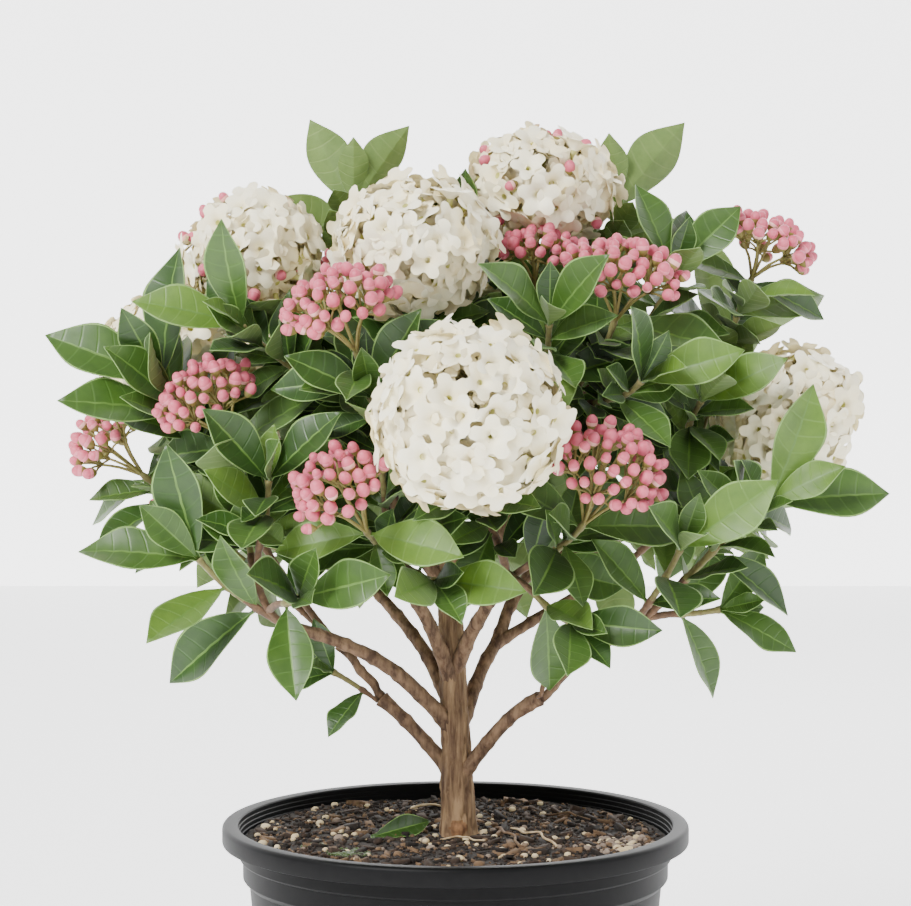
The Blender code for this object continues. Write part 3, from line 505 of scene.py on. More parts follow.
# %% The foliage masses and their shoots
# Foliage masses. Each has the limb that carries it and its shoots. A shoot's row: the
# middle of its flower head, bud cluster or leaf tuft (right, back, up), its lean to the right
# and to the front in degrees, the turn of each leaf pair about the twig from the top down
# (0 spreads left and right), the leaf length, and, if it doesn't end in leaves, what ends it
# and the width and height of that.
WHITE, BUDS, LEAVES = "white", "buds", "leaves"
MASSES = {
    "foliage_front": ("bough_right_fork", (
        ((5, -95, 317), (2, 48), (80, 5, 95), 44, WHITE, (75, 73)),
        ((57, -70, 295), (22, 28), (-5, 60, 5, 90), 48, BUDS, (46, 36)),
        ((44, -62, 238), (25, 62), (10, 80), 40),
    )),
    "foliage_front_left": ("bough_left_up", (
        ((-43, -75, 289), (-30, 28), (0, 20, 5, 80), 46, BUDS, (38, 31)),
        ((-8, -62, 254), (8, 70), (0, 90, 0), 44),
        ((-32, -52, 324), (-12, 30), (0, 85, 10, 90), 42),
    )),
    "foliage_left_front": ("bough_left_mid", (
        ((-97, -35, 322), (-27, 18), (0, 85, 5, 95), 48, BUDS, (41, 30)),
        ((-101, -34, 260), (-32, 12), (5, 60, 0), 50),
        ((-60, -58, 247), (-50, 45), (0, 85), 42),
        ((-72, -52, 292), (-5, 25), (5, 80, 10), 42),
    )),
    "foliage_upper_left": ("bough_upper_left", (
        ((-84, 17, 379), (-25, 0), (5, 80, 0, 90), 52, WHITE, (62, 58)),
        ((-44, -62, 358), (-20, 20), (0, 30, 10, 80), 44, BUDS, (44, 28)),
        ((-84, -28, 352), (-35, 25), (10, 80, 5), 44),
        ((-58, 30, 342), (-20, -5), (0, 85, 10), 44),
    )),
    "foliage_top": ("trunk", (
        ((-16, -20, 384), (-8, 12), (80, 10, 95, 0), 46, WHITE, (68, 55)),
        ((-43, 36, 402), (8, -10), (0, 5, 80, 0), 46),
        ((2, 14, 392), (6, 8), (0, 85, 5), 40),
    )),
    "foliage_top_right": ("bough_top_right", (
        ((36, 25, 410), (6, 0), (90, 0, 85, 5), 44, WHITE, (65, 46)),
        ((34, 0, 381), (8, 10), (20, 95, 5), 42, BUDS, (33, 20)),
        ((67, 52, 402), (-18, -8), (0, 40, 90), 50),
    )),
    "foliage_upper_right": ("bough_upper_right", (
        ((66, -32, 371), (10, 15), (0, 25, 5, 95), 50, BUDS, (48, 28)),
        ((88, 2, 374), (7, 0), (0, 50, 85), 44),
        ((36, -52, 352), (5, 35), (0, 85, 10), 42),
        ((72, -46, 330), (22, 30), (0, 80, 5), 42),
    )),
    "foliage_right": ("bough_right_outer", (
        ((129, 20, 385), (27, -4), (10, 30, 0, 90), 46, BUDS, (42, 22)),
        ((135, 10, 313), (42, 18), (85, 0, 80), 46, WHITE, (56, 66)),
        ((98, -18, 322), (30, 35), (0, 80, 10), 44),
        ((96, -6, 284), (35, 40), (0, 85, 10), 42),
    )),
    "foliage_right_low": ("bough_right_low_outer", (
        ((123, -40, 283), (60, 8), (10, 60, 0, 85), 46),
        ((86, -60, 266), (18, 40), (0, 80, 5), 44),
        ((104, -34, 240), (70, 10), (0, 80), 36),
    )),
    "foliage_right_low_sprig": ("bough_right_low", (
        ((36, -24, 214), (12, 10), (0, 70), 26),
    )),
    "foliage_left_low_sprig": ("bough_left_low", (
        ((-50, 0, 211), (-62, 10), (20, 60), 26),
    )),
    "foliage_left_low": ("bough_left_low_outer", (
        ((-142, 6, 303), (-50, 0), (0, 40, 5, 90), 40, BUDS, (30, 28)),
        ((-117, -14, 330), (-25, 5), (0, 40, 0, 85), 56),
        ((-122, 48, 338), (-35, -28), (0, 85, 5), 46, WHITE, (60, 52)),
        ((-86, 34, 258), (-45, -25), (0, 80, 10), 46),
    )),
    "foliage_back_left": ("bough_back_left", (
        ((-78, 92, 322), (-32, -38), (0, 85, 5, 90), 48, WHITE, (66, 60)),
        ((-112, 70, 279), (-48, -35), (5, 80, 0), 46, BUDS, (40, 28)),
        ((-44, 98, 268), (-18, -50), (0, 85, 10), 46),
        ((-56, 66, 368), (-22, -22), (0, 85, 5, 95), 46, BUDS, (42, 27)),
    )),
    "foliage_back": ("bough_back", (
        ((-8, 118, 312), (-4, -45), (0, 85, 10, 90), 48, BUDS, (46, 32)),
        ((22, 100, 262), (12, -55), (0, 80, 10), 46),
        ((-28, 106, 362), (-8, -30), (0, 80, 5, 85), 46),
    )),
    "foliage_back_right": ("bough_right_up", (
        ((70, 96, 326), (28, -40), (0, 85, 5, 90), 48, WHITE, (68, 62)),
        ((112, 72, 288), (45, -32), (5, 80, 0), 46, BUDS, (42, 28)),
        ((72, 88, 258), (35, -45), (0, 85, 10), 44),
        ((112, 62, 346), (32, -22), (0, 80, 5, 85), 46),
    )),
    "foliage_upper_back": ("bough_upper_back", (
        ((0, 74, 384), (0, -28), (0, 85, 5, 90), 46, WHITE, (66, 54)),
        ((54, 84, 376), (14, -28), (5, 85, 0), 46, BUDS, (42, 26)),
        ((34, 112, 360), (12, -40), (20, 85, 5), 44),
    )),
}
TWIG_RADIUS = 1.15  # at a shoot's tip
TWIG_FOOT_RADIUS = 1.7
TWIG_STEP = 13.0
BRANCH_SHARES = (0.14, 0.28, 0.42)  # where the second, third and fourth shoots leave the first
FIRST_NODE = {WHITE: 5.0, BUDS: 3.0, LEAVES: 0.5}  # from the twig's tip down to its top leaf pair
NODE_GAP = 15.0
STEM_SHARE = 0.8  # a mass's stem has this share of its bough's tip radius
TURN_ASIDE = 1.3  # how strongly a side shoot turns from the stem towards its own tip
LEAVE_PULL, ARRIVE_PULL = 0.8, 0.7  # how long a twig keeps the way that it starts and ends in
TWIG_TAPER = 0.6
print(len(MASSES), "masses")

# %% How leaves stand
# Leaves: opposite pairs that turn a quarter round the twig from one pair to the next.
LEAF_WIDTH = 0.43  # share of the length
LEAF_DROOP = 0.14
LEAF_RISE = 0.35  # how far it first rises, before it droops
FIRST_SPREAD = {WHITE: 64.0, BUDS: 56.0, LEAVES: 33.0}  # degrees between the top pair and the twig
LOWER_SPREAD = 62.0  # and those below it,
SPREAD_STEP = 6.0  # each pair a little more
LEAF_JITTER = 7.0
CROWN_MIDDLE = 22.0  # how far behind the pot's axis the crown parts into front and back
CROWN_REACH = 150.0
# By these shares a blade turns its upper face to its twig's tip, to the sky, to the crown's
# outside, and to the front or the back.
FACE_TIP, FACE_UP, FACE_OUT, FACE_FRONT = 0.35, 0.5, 0.5, 0.75
# Where a leaf would touch something it is tried again with more spread, more turn and a
# share of its length.
LEAF_TRIES = ((0, 0, 1.0), (12, 10, 0.95), (-16, -12, 0.92), (22, -24, 0.9),
              (-28, 20, 0.85), (8, 38, 0.82), (34, 0, 0.78), (-36, -34, 0.75))
LEAF_CLEAR, LEAF_CLEAR_OWN = 3.1, 2.2  # between the leaves of two masses, and of one mass
TWIG_CLEAR, LIMB_CLEAR, HEAD_CLEAR = 1.0, 1.6, 1.2  # from a leaf to these
SPACE_CELL, SPACE_STEP = 6.0, 2.5  # the grid's cell, and between the points that stand for a twig
OVAL_START, OVAL_POWER = 0.06, 0.75  # the blade's outline, as a part of a sine wave
LEAF_ALONG, LEAF_ACROSS = 7, 2  # points that stand for a blade when room is looked for
LEAF_SEED = 1000
PAIR_SHARES = (1.0, 1.0, 0.94, 0.88)  # lower pairs are a little shorter
LENGTH_RANGE = (0.88, 1.08)
ROOT_FREE = 0.08  # this share of a leaf may touch its twig,
ROOT_NEAR = 0.22  # and this share may come close to it
LEAST_STEM = 0.4  # of a node gap, left under the lowest pair
WHITE_FOOT = 0.40  # the twig ends this share of the height below the middle
CLUSTER_FOOT = 0.62
print(len(LEAF_TRIES), "tries for a leaf")


# %% Places, directions and paths
TOO_SHORT = 0.05  # a side as short as this gives no sure direction


def place(bearing, reach, height):
    """A point by its bearing from the front towards the right, its reach and its height."""
    angle = math.radians(bearing)
    return Vector((reach * math.sin(angle), -reach * math.cos(angle), height))


def leaning(side, fore):
    """The direction that leans this many degrees from upright to the right and to the front."""
    return Vector((math.tan(math.radians(side)), -math.tan(math.radians(fore)), 1)).normalized()


def bend(start, start_way, end, end_way, steps):
    """A smooth path that leaves one point in one direction and reaches another in another."""
    pull = (end - start).length
    path = []
    for i in range(steps + 1):
        t = i / steps
        from_start = (2 * t**3 - 3 * t**2 + 1) * start + (t**3 - 2 * t**2 + t) * pull * start_way
        to_end = (3 * t**2 - 2 * t**3) * end + (t**3 - t**2) * pull * end_way
        path.append(from_start + to_end)
    return path


def along(path, share):
    """The point at this share of the path's points, and the way it runs there."""
    place_on = share * (len(path) - 1)
    i = min(int(place_on), len(path) - 2)
    step = path[i + 1] - path[i]
    return path[i] + step * (place_on - i), step.normalized()


def square_to(way, wish):
    """The part of wish that is at right angles to way, made one long."""
    side = wish - way * wish.dot(way)
    if side.length < TOO_SHORT:
        side = RIGHT - way * way.x
    return side.normalized()


# %% The limbs' paths
def trunk_path():
    """The trunk's axis from the soil up."""
    path = []
    for i in range(TRUNK_RINGS):
        share = i / (TRUNK_RINGS - 1)
        height = TRUNK_FOOT + (TRUNK_TOP - TRUNK_FOOT) * share
        sway = Vector((math.sin(share * SWAY_ASIDE), math.cos(share * SWAY_BACK) - 1, 0))
        path.append(TRUNK_START + TRUNK_LEAN * share + sway * TRUNK_SWAY * share + UP * height)
    return path


def trunk_radius(share, angle):
    """The trunk tapers from its foot, where the root flare stands out in a few lobes."""
    taper = TRUNK_FOOT_RADIUS + (TRUNK_TOP_RADIUS - TRUNK_FOOT_RADIUS) * share
    height = (TRUNK_TOP - TRUNK_FOOT) * share
    flare = FLARE * math.exp(-height / FLARE_HEIGHT)
    flare *= FLARE_EVEN + (1 - FLARE_EVEN) * math.cos(FLARE_LOBES * angle + FLARE_TURN)
    fluting = FLUTING * math.cos(FLUTES * angle + FLUTE_TWIST * share) * (1 - share)
    return taper + flare + fluting


def bough_paths():
    """Each bough's path, from its parent's axis or from its parent's tip, to its own tip."""
    paths = {"trunk": trunk_path()}
    for number, (name, row) in enumerate(BOUGHS.items()):
        parent, share, bearing, reach, height, bow = row[:6]
        start, way = along(paths[parent], share)
        tip = place(bearing, reach, height)
        if share == 1.0:
            sprig_tip = Vector(MASSES[parent.replace("bough", "foliage") + "_sprig"][1][0][0])
            start = start + way * GAP - square_to(way, sprig_tip - tip) * FORK_OFFSET
        chord = tip - start
        rng = random.Random(BOUGH_SEED + number)
        steps = max(4, round(chord.length / BOUGH_RING_GAP))
        lift = square_to(chord.normalized(), UP)
        path = []
        for i in range(steps + 1):
            t = i / steps
            wander = Vector([rng.uniform(-1, 1) for _ in range(3)])
            inner = 0 if i in (0, steps) else BOUGH_WANDER
            path.append(start + chord * t + lift * bow * math.sin(math.pi * t) + wander * inner)
        if share == 1.0:
            path.insert(1, start + way * SQUARE_START)
        paths[name] = path
    return paths


# %% The twigs of each mass
def head_foot(centre, kind, size, way):
    """Where the twig ends under a head or a cluster."""
    if kind == LEAVES:
        return centre.copy()
    return centre - way * size[1] * (WHITE_FOOT if kind == WHITE else CLUSTER_FOOT)


def mass_twigs():
    """For each mass, its shoots with the path and the radii of their twigs."""
    masses = {}
    for mass, (carrier, shoots) in MASSES.items():
        start, way = along(paths[carrier], 1.0)
        tip_radius = BOUGHS[carrier][7] if carrier in BOUGHS else TRUNK_TOP_RADIUS
        start = start + way * GAP
        foot_radius = tip_radius * STEM_SHARE
        if mass.endswith("_sprig"):
            outer = paths[carrier + "_outer"][0] - start
            start = start - square_to(way, outer) * SPRIG_OFFSET
            foot_radius = SPRIG_RADIUS
        main = None
        twigs = []
        for number, (centre, lean, turns, leaf, *head) in enumerate(shoots):
            kind, size = head or (LEAVES, None)
            tip_way = leaning(*lean)
            tip = head_foot(Vector(centre), kind, size, tip_way)
            if number:
                start, way = along(main, BRANCH_SHARES[number - 1])
                way = (way + (tip - start).normalized() * TURN_ASIDE).normalized()
                foot_radius = TWIG_FOOT_RADIUS
            steps = max(3, round((tip - start).length / TWIG_STEP))
            path = bend(start, way * LEAVE_PULL, tip, tip_way * ARRIVE_PULL, steps)
            if not number:
                path.insert(1, start + way * SQUARE_START)
                main = path
            twigs.append((path, foot_radius, Vector(centre), kind, size, tip_way, turns, leaf))
        masses[mass] = twigs
    return masses


def node_places(path, first, count):
    """The places of this many leaf pairs, counted from the path's tip down."""
    lengths = [(b - a).length for a, b in zip(path, path[1:])]
    places = []
    for k in range(count):
        wanted = sum(lengths) - first - k * NODE_GAP
        if wanted < NODE_GAP * LEAST_STEM:
            break
        run = 0
        for a, b, length in zip(path, path[1:], lengths):
            if run + length >= wanted:
                places.append((a.lerp(b, (wanted - run) / length), (b - a).normalized()))
                break
            run += length
    return places


def twig_radius(foot_radius, share):
    """A twig thins quickly at first and then slowly."""
    return foot_radius + (TWIG_RADIUS - foot_radius) * share**TWIG_TAPER


paths = bough_paths()
masses = mass_twigs()
print(len(paths), "limbs and", sum(len(twigs) for twigs in masses.values()), "twigs")


# %% The blade as points
def leaf_at(root, twig_way, angle, spread, length):
    """A leaf that leaves the twig at this turn about it and this spread from it."""
    across = square_to(twig_way, RIGHT)
    forward = twig_way.cross(across)
    side = across * math.cos(angle) + forward * math.sin(angle)
    way = twig_way * math.cos(spread) + side * math.sin(spread)
    outward = Vector((root.x, root.y - CROWN_MIDDLE, 0)) / CROWN_REACH
    facing = -1 if root.y < CROWN_MIDDLE else 1
    wish = twig_way * FACE_TIP + UP * FACE_UP + outward * FACE_OUT + Vector((0, facing * FACE_FRONT, 0))
    return root, way, square_to(way, wish), length, length * LEAF_WIDTH


def leaf_points(leaf):
    """Points all over a leaf's blade, with the share of its length where each lies."""
    root, way, normal, length, width = leaf
    side = way.cross(normal)
    points = []
    for i in range(LEAF_ALONG + 1):
        t = i / LEAF_ALONG
        oval = max(0, math.sin(math.pi * (OVAL_START + (1 - OVAL_START) * t))) ** OVAL_POWER
        half = width * 0.5 * oval
        drop = LEAF_DROOP * length * (t * t - LEAF_RISE * t)
        across = (0,) if i in (0, LEAF_ALONG) else range(-LEAF_ACROSS, LEAF_ACROSS + 1)
        for j in across:
            place_on = root + way * length * t + side * half * j / LEAF_ACROSS
            points.append((t, place_on - normal * drop))
    return points


# %% Room for leaves
class Space:
    """What is taken, by mass, so that a leaf that would touch something is turned or skipped.

    Points are kept in cells of a coarse grid, so that only the near ones are measured.
    """

    gap, own_gap = LEAF_CLEAR, LEAF_CLEAR_OWN
    root_free, root_near = ROOT_FREE, ROOT_NEAR

    def __init__(self):
        self.cells = {}
        self.heads = []

    def key(self, point):
        """The cell that a point lies in."""
        return tuple(int(math.floor(c / SPACE_CELL)) for c in point)

    def add(self, point, radius, mass, twig):
        """One taken point. A leaf's point has no twig."""
        self.cells.setdefault(self.key(point), []).append((point, radius, mass, twig))

    def add_path(self, path, radii, mass, twig):
        """Points all along a limb or a twig."""
        for a, b, ra, rb in zip(path, path[1:], radii, radii[1:]):
            steps = max(1, math.ceil((b - a).length / SPACE_STEP))
            for i in range(steps + 1):
                t = i / steps
                self.add(a.lerp(b, t), ra + (rb - ra) * t, mass, twig)

    def free(self, point, mass, twig, near_root):
        """Whether a leaf of this mass and twig may have a point here."""
        for centre, way, half_width, half_height in self.heads:
            offset = point - centre
            rise = offset.dot(way)
            aside = (offset - way * rise).length
            if (aside / half_width) ** 2 + (rise / half_height) ** 2 < 1:
                return False
        for key in itertools.product(*((c - 1, c, c + 1) for c in self.key(point))):
            for other, radius, other_mass, other_twig in self.cells.get(key, ()):
                own, is_leaf = other_mass == mass, other_twig is None
                if near_root and own and (is_leaf or other_twig == twig):
                    continue
                if is_leaf:
                    clear = self.own_gap if own else self.gap
                else:
                    clear = radius + (TWIG_CLEAR if own else LIMB_CLEAR)
                if (point - other).length_squared < clear * clear:
                    return False
        return True

    def take(self, leaf, mass, twig):
        """Takes the room of a leaf and says so, if all of it is free."""
        points = leaf_points(leaf)
        if not all(self.free(p, mass, twig, t < self.root_near) for t, p in points if t > self.root_free):
            return False
        for _, point in points:
            self.add(point, 0.0, mass, None)
        return True


# %% Grow the leaves
space = Space()
for name, path in paths.items():
    foot, tip = (TRUNK_FOOT_RADIUS, TRUNK_TOP_RADIUS) if name == "trunk" else BOUGHS[name][6:8]
    radii = [foot + (tip - foot) * i / (len(path) - 1) for i in range(len(path))]
    space.add_path(path, radii, "limbs", name)
for mass, twigs in masses.items():
    for number, (path, foot_radius, centre, kind, size, way, _, _) in enumerate(twigs):
        radii = [twig_radius(foot_radius, i / (len(path) - 1)) for i in range(len(path))]
        space.add_path(path, radii, mass, number)
        if kind != LEAVES:
            space.heads.append((centre, way, size[0] * 0.5 + HEAD_CLEAR, size[1] * 0.5 + HEAD_CLEAR))


def try_leaf(found, node, turn, spread, length, mass, twig):
    """Grows the leaf in the first of its positions that is free, or not at all."""
    for more_spread, more_turn, share in LEAF_TRIES:
        leaf = leaf_at(*node, math.radians(turn + more_turn), math.radians(spread + more_spread),
                       length * share)
        if space.take(leaf, mass, twig):
            found.append(leaf)
            break


def grow_leaves():
    """The top pair of every shoot is tried first, then the second pair of each, and so on."""
    found = {mass: [] for mass in masses}
    order = [(mass, number) for mass, twigs in masses.items() for number in range(len(twigs))]
    for row, pair_share in enumerate(PAIR_SHARES):
        for place_in_order, (mass, number) in enumerate(order):
            path, _, _, kind, _, _, turns, length = masses[mass][number]
            nodes = node_places(path, FIRST_NODE[kind], len(turns))
            if row >= len(nodes):
                continue
            rng = random.Random(LEAF_SEED + 10 * place_in_order + row)
            size = length * rng.uniform(*LENGTH_RANGE) * pair_share
            for half_turn in (0, 180):
                turn = turns[row] + half_turn + rng.uniform(-LEAF_JITTER, LEAF_JITTER)
                spread = LOWER_SPREAD + SPREAD_STEP * row if row else FIRST_SPREAD[kind]
                spread += rng.uniform(-LEAF_JITTER, LEAF_JITTER)
                try_leaf(found[mass], nodes[row], turn, spread, size, mass, number)
    return found


leaves = grow_leaves()
print(sum(len(found) for found in leaves.values()), "main leaves")

# %% [markdown]
# ## Small leaves between the pairs
# Between two pairs of full leaves a real shoot has short side buds with smaller leaves. They
# make the crown look dense without blocking the view of the main ones. They are tried in the
# same way, with less room between them.

# %% Small leaves
SMALL_SEED, ROUND_SEED, MASS_SEED, TWIG_SEED = 5000, 997, 31, 7
SMALL_ROUNDS = 3
SMALL_START, SMALL_SHIFT = 0.5, 0.25  # of a node gap, before the first round and between rounds
SMALL_SIZE, SMALL_SPREAD = (0.48, 0.80), (42, 72)
SMALL_GAP, SMALL_OWN_GAP = 2.0, 1.6  # what LEAF_CLEAR and LEAF_CLEAR_OWN are for full leaves
SMALL_ROOT_FREE, SMALL_ROOT_NEAR = 0.12, 0.3  # and ROOT_FREE and ROOT_NEAR
SMALL_LOWEST = 262.0  # below this the boughs stay bare
TUFT_SIZE, TUFT_SPREAD = (0.5, 0.72), (14, 30)


def add_tuft(found, path, turns, length):
    """Two young leaves at a shoot's tip, turned across the pair below."""
    way = (path[-1] - path[-2]).normalized()
    rng = random.Random(SMALL_SEED + len(found) + round(path[-1].z * 10))
    for half_turn in (90, 270):
        angle, spread = math.radians(turns[0] + half_turn), math.radians(rng.uniform(*TUFT_SPREAD))
        found.append(leaf_at(path[-1], way, angle, spread, length * rng.uniform(*TUFT_SIZE)))


def grow_small_leaves():
    """In each round the places on a twig lie a little lower than in the one before."""
    space.gap, space.own_gap = SMALL_GAP, SMALL_OWN_GAP
    space.root_free, space.root_near = SMALL_ROOT_FREE, SMALL_ROOT_NEAR
    small = {mass: [] for mass in masses}
    for lap in range(SMALL_ROUNDS):
        for order, (mass, twigs) in enumerate(masses.items()):
            for number, (path, _, _, kind, _, _, turns, length) in enumerate(twigs):
                if kind == LEAVES and lap == 0:
                    add_tuft(small[mass], path, turns, length)
                first = FIRST_NODE[kind] + NODE_GAP * (SMALL_START + SMALL_SHIFT * lap)
                for step, node in enumerate(node_places(path, first, len(turns) + 1)):
                    if node[0].z < SMALL_LOWEST:
                        continue
                    seed = SMALL_SEED + ROUND_SEED * lap + MASS_SEED * order + TWIG_SEED * number + step
                    rng = random.Random(seed)
                    turn = rng.uniform(0, 180)
                    for half_turn in (0, 180):
                        size = length * rng.uniform(*SMALL_SIZE)
                        spread = rng.uniform(*SMALL_SPREAD)
                        try_leaf(small[mass], node, turn + half_turn, spread, size, mass, number)
    return small


small_leaves = grow_small_leaves()
print(sum(len(found) for found in small_leaves.values()), "small leaves")

# %% [markdown]
# ## Bark
# Old viburnum bark is grey-brown and splits along the limb into thin strips. Relief that shows
# against the background has to be in the mesh, so each limb is a fine tube whose rings are
# pushed in where a stretched noise crosses zero. Boughs also swell a little at each old leaf
# scar and where they leave their parent.

# %% Fine tubes
RIDGE_ALONG = 0.055  # how slowly the splits change along a limb, per millimetre
RIDGE_ROUND, RIDGE_CLIMB = 0.85, 0.3  # and how fast around it
SPLIT_WIDTH = 0.20
FINER, FINER_SHARE = 2.3, 0.35  # a second, finer noise in the splits


def smooth(path, gap):
    """Points every gap or so on a curve through the path's own points."""
    fine = []
    held = [path[0], *path, path[-1]]
    for before, a, b, after in zip(held, held[1:], held[2:], held[3:]):
        steps = max(1, round((b - a).length / gap))
        for step in range(steps):
            t = step / steps
            fine.append(0.5 * (2 * a + (b - before) * t + (2 * before - 5 * a + 4 * b - after) * t * t
                               + (3 * a - before - 3 * b + after) * t**3))
    return fine + [path[-1]]


def tube_arrays(path, radius_at, sides):
    """A closed tube: radius_at gives the radius from share, distance run, angle and spoke."""
    side = square_to((path[1] - path[0]).normalized(), RIGHT)
    last = len(path) - 1
    points = []
    run = 0.0
    for i, point in enumerate(path):
        before, after = path[max(0, i - 1)], path[min(last, i + 1)]
        run += (point - before).length
        way = (after - before).normalized()
        side = square_to(way, side)
        up = way.cross(side)
        for k in range(sides):
            angle = math.tau * k / sides
            spoke = side * math.cos(angle) + up * math.sin(angle)
            points.append(tuple(point + spoke * radius_at(i / last, run, angle, spoke)))
    ring = np.arange(sides)
    after = (ring + 1) % sides
    band = np.stack((ring, after, after + sides, ring + sides), axis=1)
    bands = band + sides * np.arange(last)[:, None, None]
    corners = np.concatenate([bands.ravel(), ring[::-1], ring + last * sides])
    return np.array(points), corners, np.array([4] * last * sides + [sides, sides])


def lumps(spoke, run, fine, slow, climb=0, shift=0):
    """A noise that changes this fast around a limb and this slowly along it."""
    return noise.noise(Vector((spoke.x * fine, spoke.y * fine + spoke.z * climb, run * slow + shift)))


def splits(run, spoke, seed, girth):
    """Depth of the bark's splits here, from 0 on a strip to 1 in a split."""
    where = Vector((spoke.x * girth * RIDGE_ROUND,
                    spoke.y * girth * RIDGE_ROUND + spoke.z * girth * RIDGE_CLIMB,
                    run * RIDGE_ALONG + seed))
    value = abs(noise.noise(where) + FINER_SHARE * noise.noise(where * FINER))
    return max(0.0, 1 - value / SPLIT_WIDTH)


# %% Bark the trunk
STUB_LUMP, STUB_RISE, STUB_SPREAD, STUB_RIM = 1.3, 6.0, 3.2, 3.6  # sawn off low on the front
STUB_POINTED, STUB_DEPTH = 5, -2  # how narrow it is, and how far forward its faces begin
TRUNK_STRIP, TRUNK_ROUGH, TRUNK_SPLIT = 0.75, 0.16, 1.1
SPLIT_FADE = 0.4  # by so much the splits are shallower at the trunk's top
TRUNK_SPLIT_SEED, TRUNK_GIRTH = 3.0, 6.0
TRUNK_SIDES, TRUNK_GAP = 60, 0.8


def trunk_bark(share, run, angle, spoke):
    """The trunk's radius with its strips, its splits and the stub."""
    strip = lumps(spoke, run, 3.2, 0.12) * TRUNK_STRIP
    stub = STUB_LUMP * math.exp(-((run - STUB_RISE) / STUB_SPREAD) ** 2) * max(0, -spoke.y) ** STUB_POINTED
    rough = lumps(spoke, run, 9, 0.5) * TRUNK_ROUGH
    split = TRUNK_SPLIT * splits(run, spoke, TRUNK_SPLIT_SEED, TRUNK_GIRTH) * (1 - SPLIT_FADE * share)
    return trunk_radius(share, angle) + strip + rough + stub - split


bark_colours = [
    new_finish("bark_trunk", (158, 128, 94), (82, 58, 40), 0.85, 330, 1.0, sharpness=4.0, stretch=0.10),
    new_finish("bark_bough", (134, 106, 80), (74, 53, 38), 0.85, 330, 0.8, sharpness=4.0, stretch=0.35),
    new_finish("bark_scar", (158, 116, 78), (98, 66, 42), 0.85, 300, 0.6),
]
ON_TRUNK, ON_BOUGH, ON_STUB = range(3)
limbs = Joined()
points, corners, sizes = tube_arrays(smooth(paths["trunk"], TRUNK_GAP), trunk_bark, TRUNK_SIDES)
middles = points[corners[:(len(sizes) - 2) * 4]].reshape(-1, 4, 3).mean(axis=1) - np.array(paths["trunk"][0])
on_stub = (np.hypot(middles[:, 0], middles[:, 2] - STUB_RISE) < STUB_RIM) & (middles[:, 1] < STUB_DEPTH)
slots = np.full(len(sizes), ON_TRUNK)
slots[:-2][on_stub] = ON_STUB
points[:TRUNK_SIDES, 2] = TRUNK_FOOT  # the lowest ring stands flat on the soil
limbs.add(points, corners, sizes, slots)
print("the stub has", int(on_stub.sum()), "faces")

# %% Bark the boughs
SCAR_GAP, SCAR_SWELL, SCAR_LENGTH = 13.0, 0.38, 1.3  # the rings that old leaves leave on a bough
SCAR_SHIFT = 5.0  # between the rings of one bough and those of the next
FOOT_SWELL, FOOT_SWELL_RUN = 1.0, 9.0  # how much a bough widens into its parent, and how far
BOUGH_STRIP, BOUGH_SPLIT = 0.22, 0.45
BOUGH_SPLIT_SEED, BOUGH_GIRTH = 7.0, 3.0
BOUGH_SIDES, BOUGH_GAP = 22, 1.0


def bough_bark(name, number):
    """The function that gives this bough's radius, with its rings and its strips."""
    foot, tip = BOUGHS[name][6:8]

    def radius_at(share, run, angle, spoke):
        shape = share**NODE_SWELL if tip > foot else share
        ring = (run + number * SCAR_SHIFT) % SCAR_GAP - SCAR_GAP / 2
        radius = foot + (tip - foot) * shape + SCAR_SWELL * math.exp(-(ring / SCAR_LENGTH) ** 2)
        if BOUGHS[name][1] < 1.0:
            radius += FOOT_SWELL * math.exp(-run / FOOT_SWELL_RUN)
        strip = lumps(spoke, run, 2.2, 0.16, 1, number) * BOUGH_STRIP
        return radius + strip - BOUGH_SPLIT * splits(run, spoke, number * BOUGH_SPLIT_SEED, BOUGH_GIRTH)

    return radius_at


for number, name in enumerate(BOUGHS):
    limbs.add(*tube_arrays(smooth(paths[name], BOUGH_GAP), bough_bark(name, number), BOUGH_SIDES), ON_BOUGH)
limbs.make("bark_limbs", bark_colours, "bark", ["trunk", *BOUGHS])

# %% [markdown]
# ## Twigs
# The young shoots are brown and woody below and olive green near their tips. Their colour has a
# place, so it is dealt out by face: the faces below a share of the length get the brown finish
# and the rest the green one. Each shoot swells where a pair of leaves leaves it.

# %% Twigs
TWIG_BROWN_SHARE = 0.42
TWIG_SIDES, TWIG_GAP = 9, 1.4
NODE_LUMP, NODE_LENGTH = 0.45, 1.6  # the swelling where a leaf pair stands
TWIG_WAVE, WAVE_ALONG, WAVE_ROUND = 0.08, 1.7, 2
STALK_INTO_HEAD = 0.1  # the twig ends this share of the height below a white head's middle
BROWN_TWIG, OLIVE_TWIG = range(2)


def add_twig(twigs, path, foot_radius, nodes):
    """One shoot, with a swelling at each of its nodes."""
    fine = smooth(path, TWIG_GAP)
    last = len(fine) - 1

    def radius_at(share, run, angle, spoke):
        near = min(((fine[round(share * last)] - node).length for node in nodes), default=99.0)
        return (twig_radius(foot_radius, share) + NODE_LUMP * math.exp(-(near / NODE_LENGTH) ** 2)
                + TWIG_WAVE * math.sin(run * WAVE_ALONG + angle * WAVE_ROUND))

    points, corners, sizes = tube_arrays(fine, radius_at, TWIG_SIDES)
    brown = np.arange(len(sizes)) // TWIG_SIDES < TWIG_BROWN_SHARE * last
    twigs.add(points, corners, sizes, np.where(brown, BROWN_TWIG, OLIVE_TWIG))


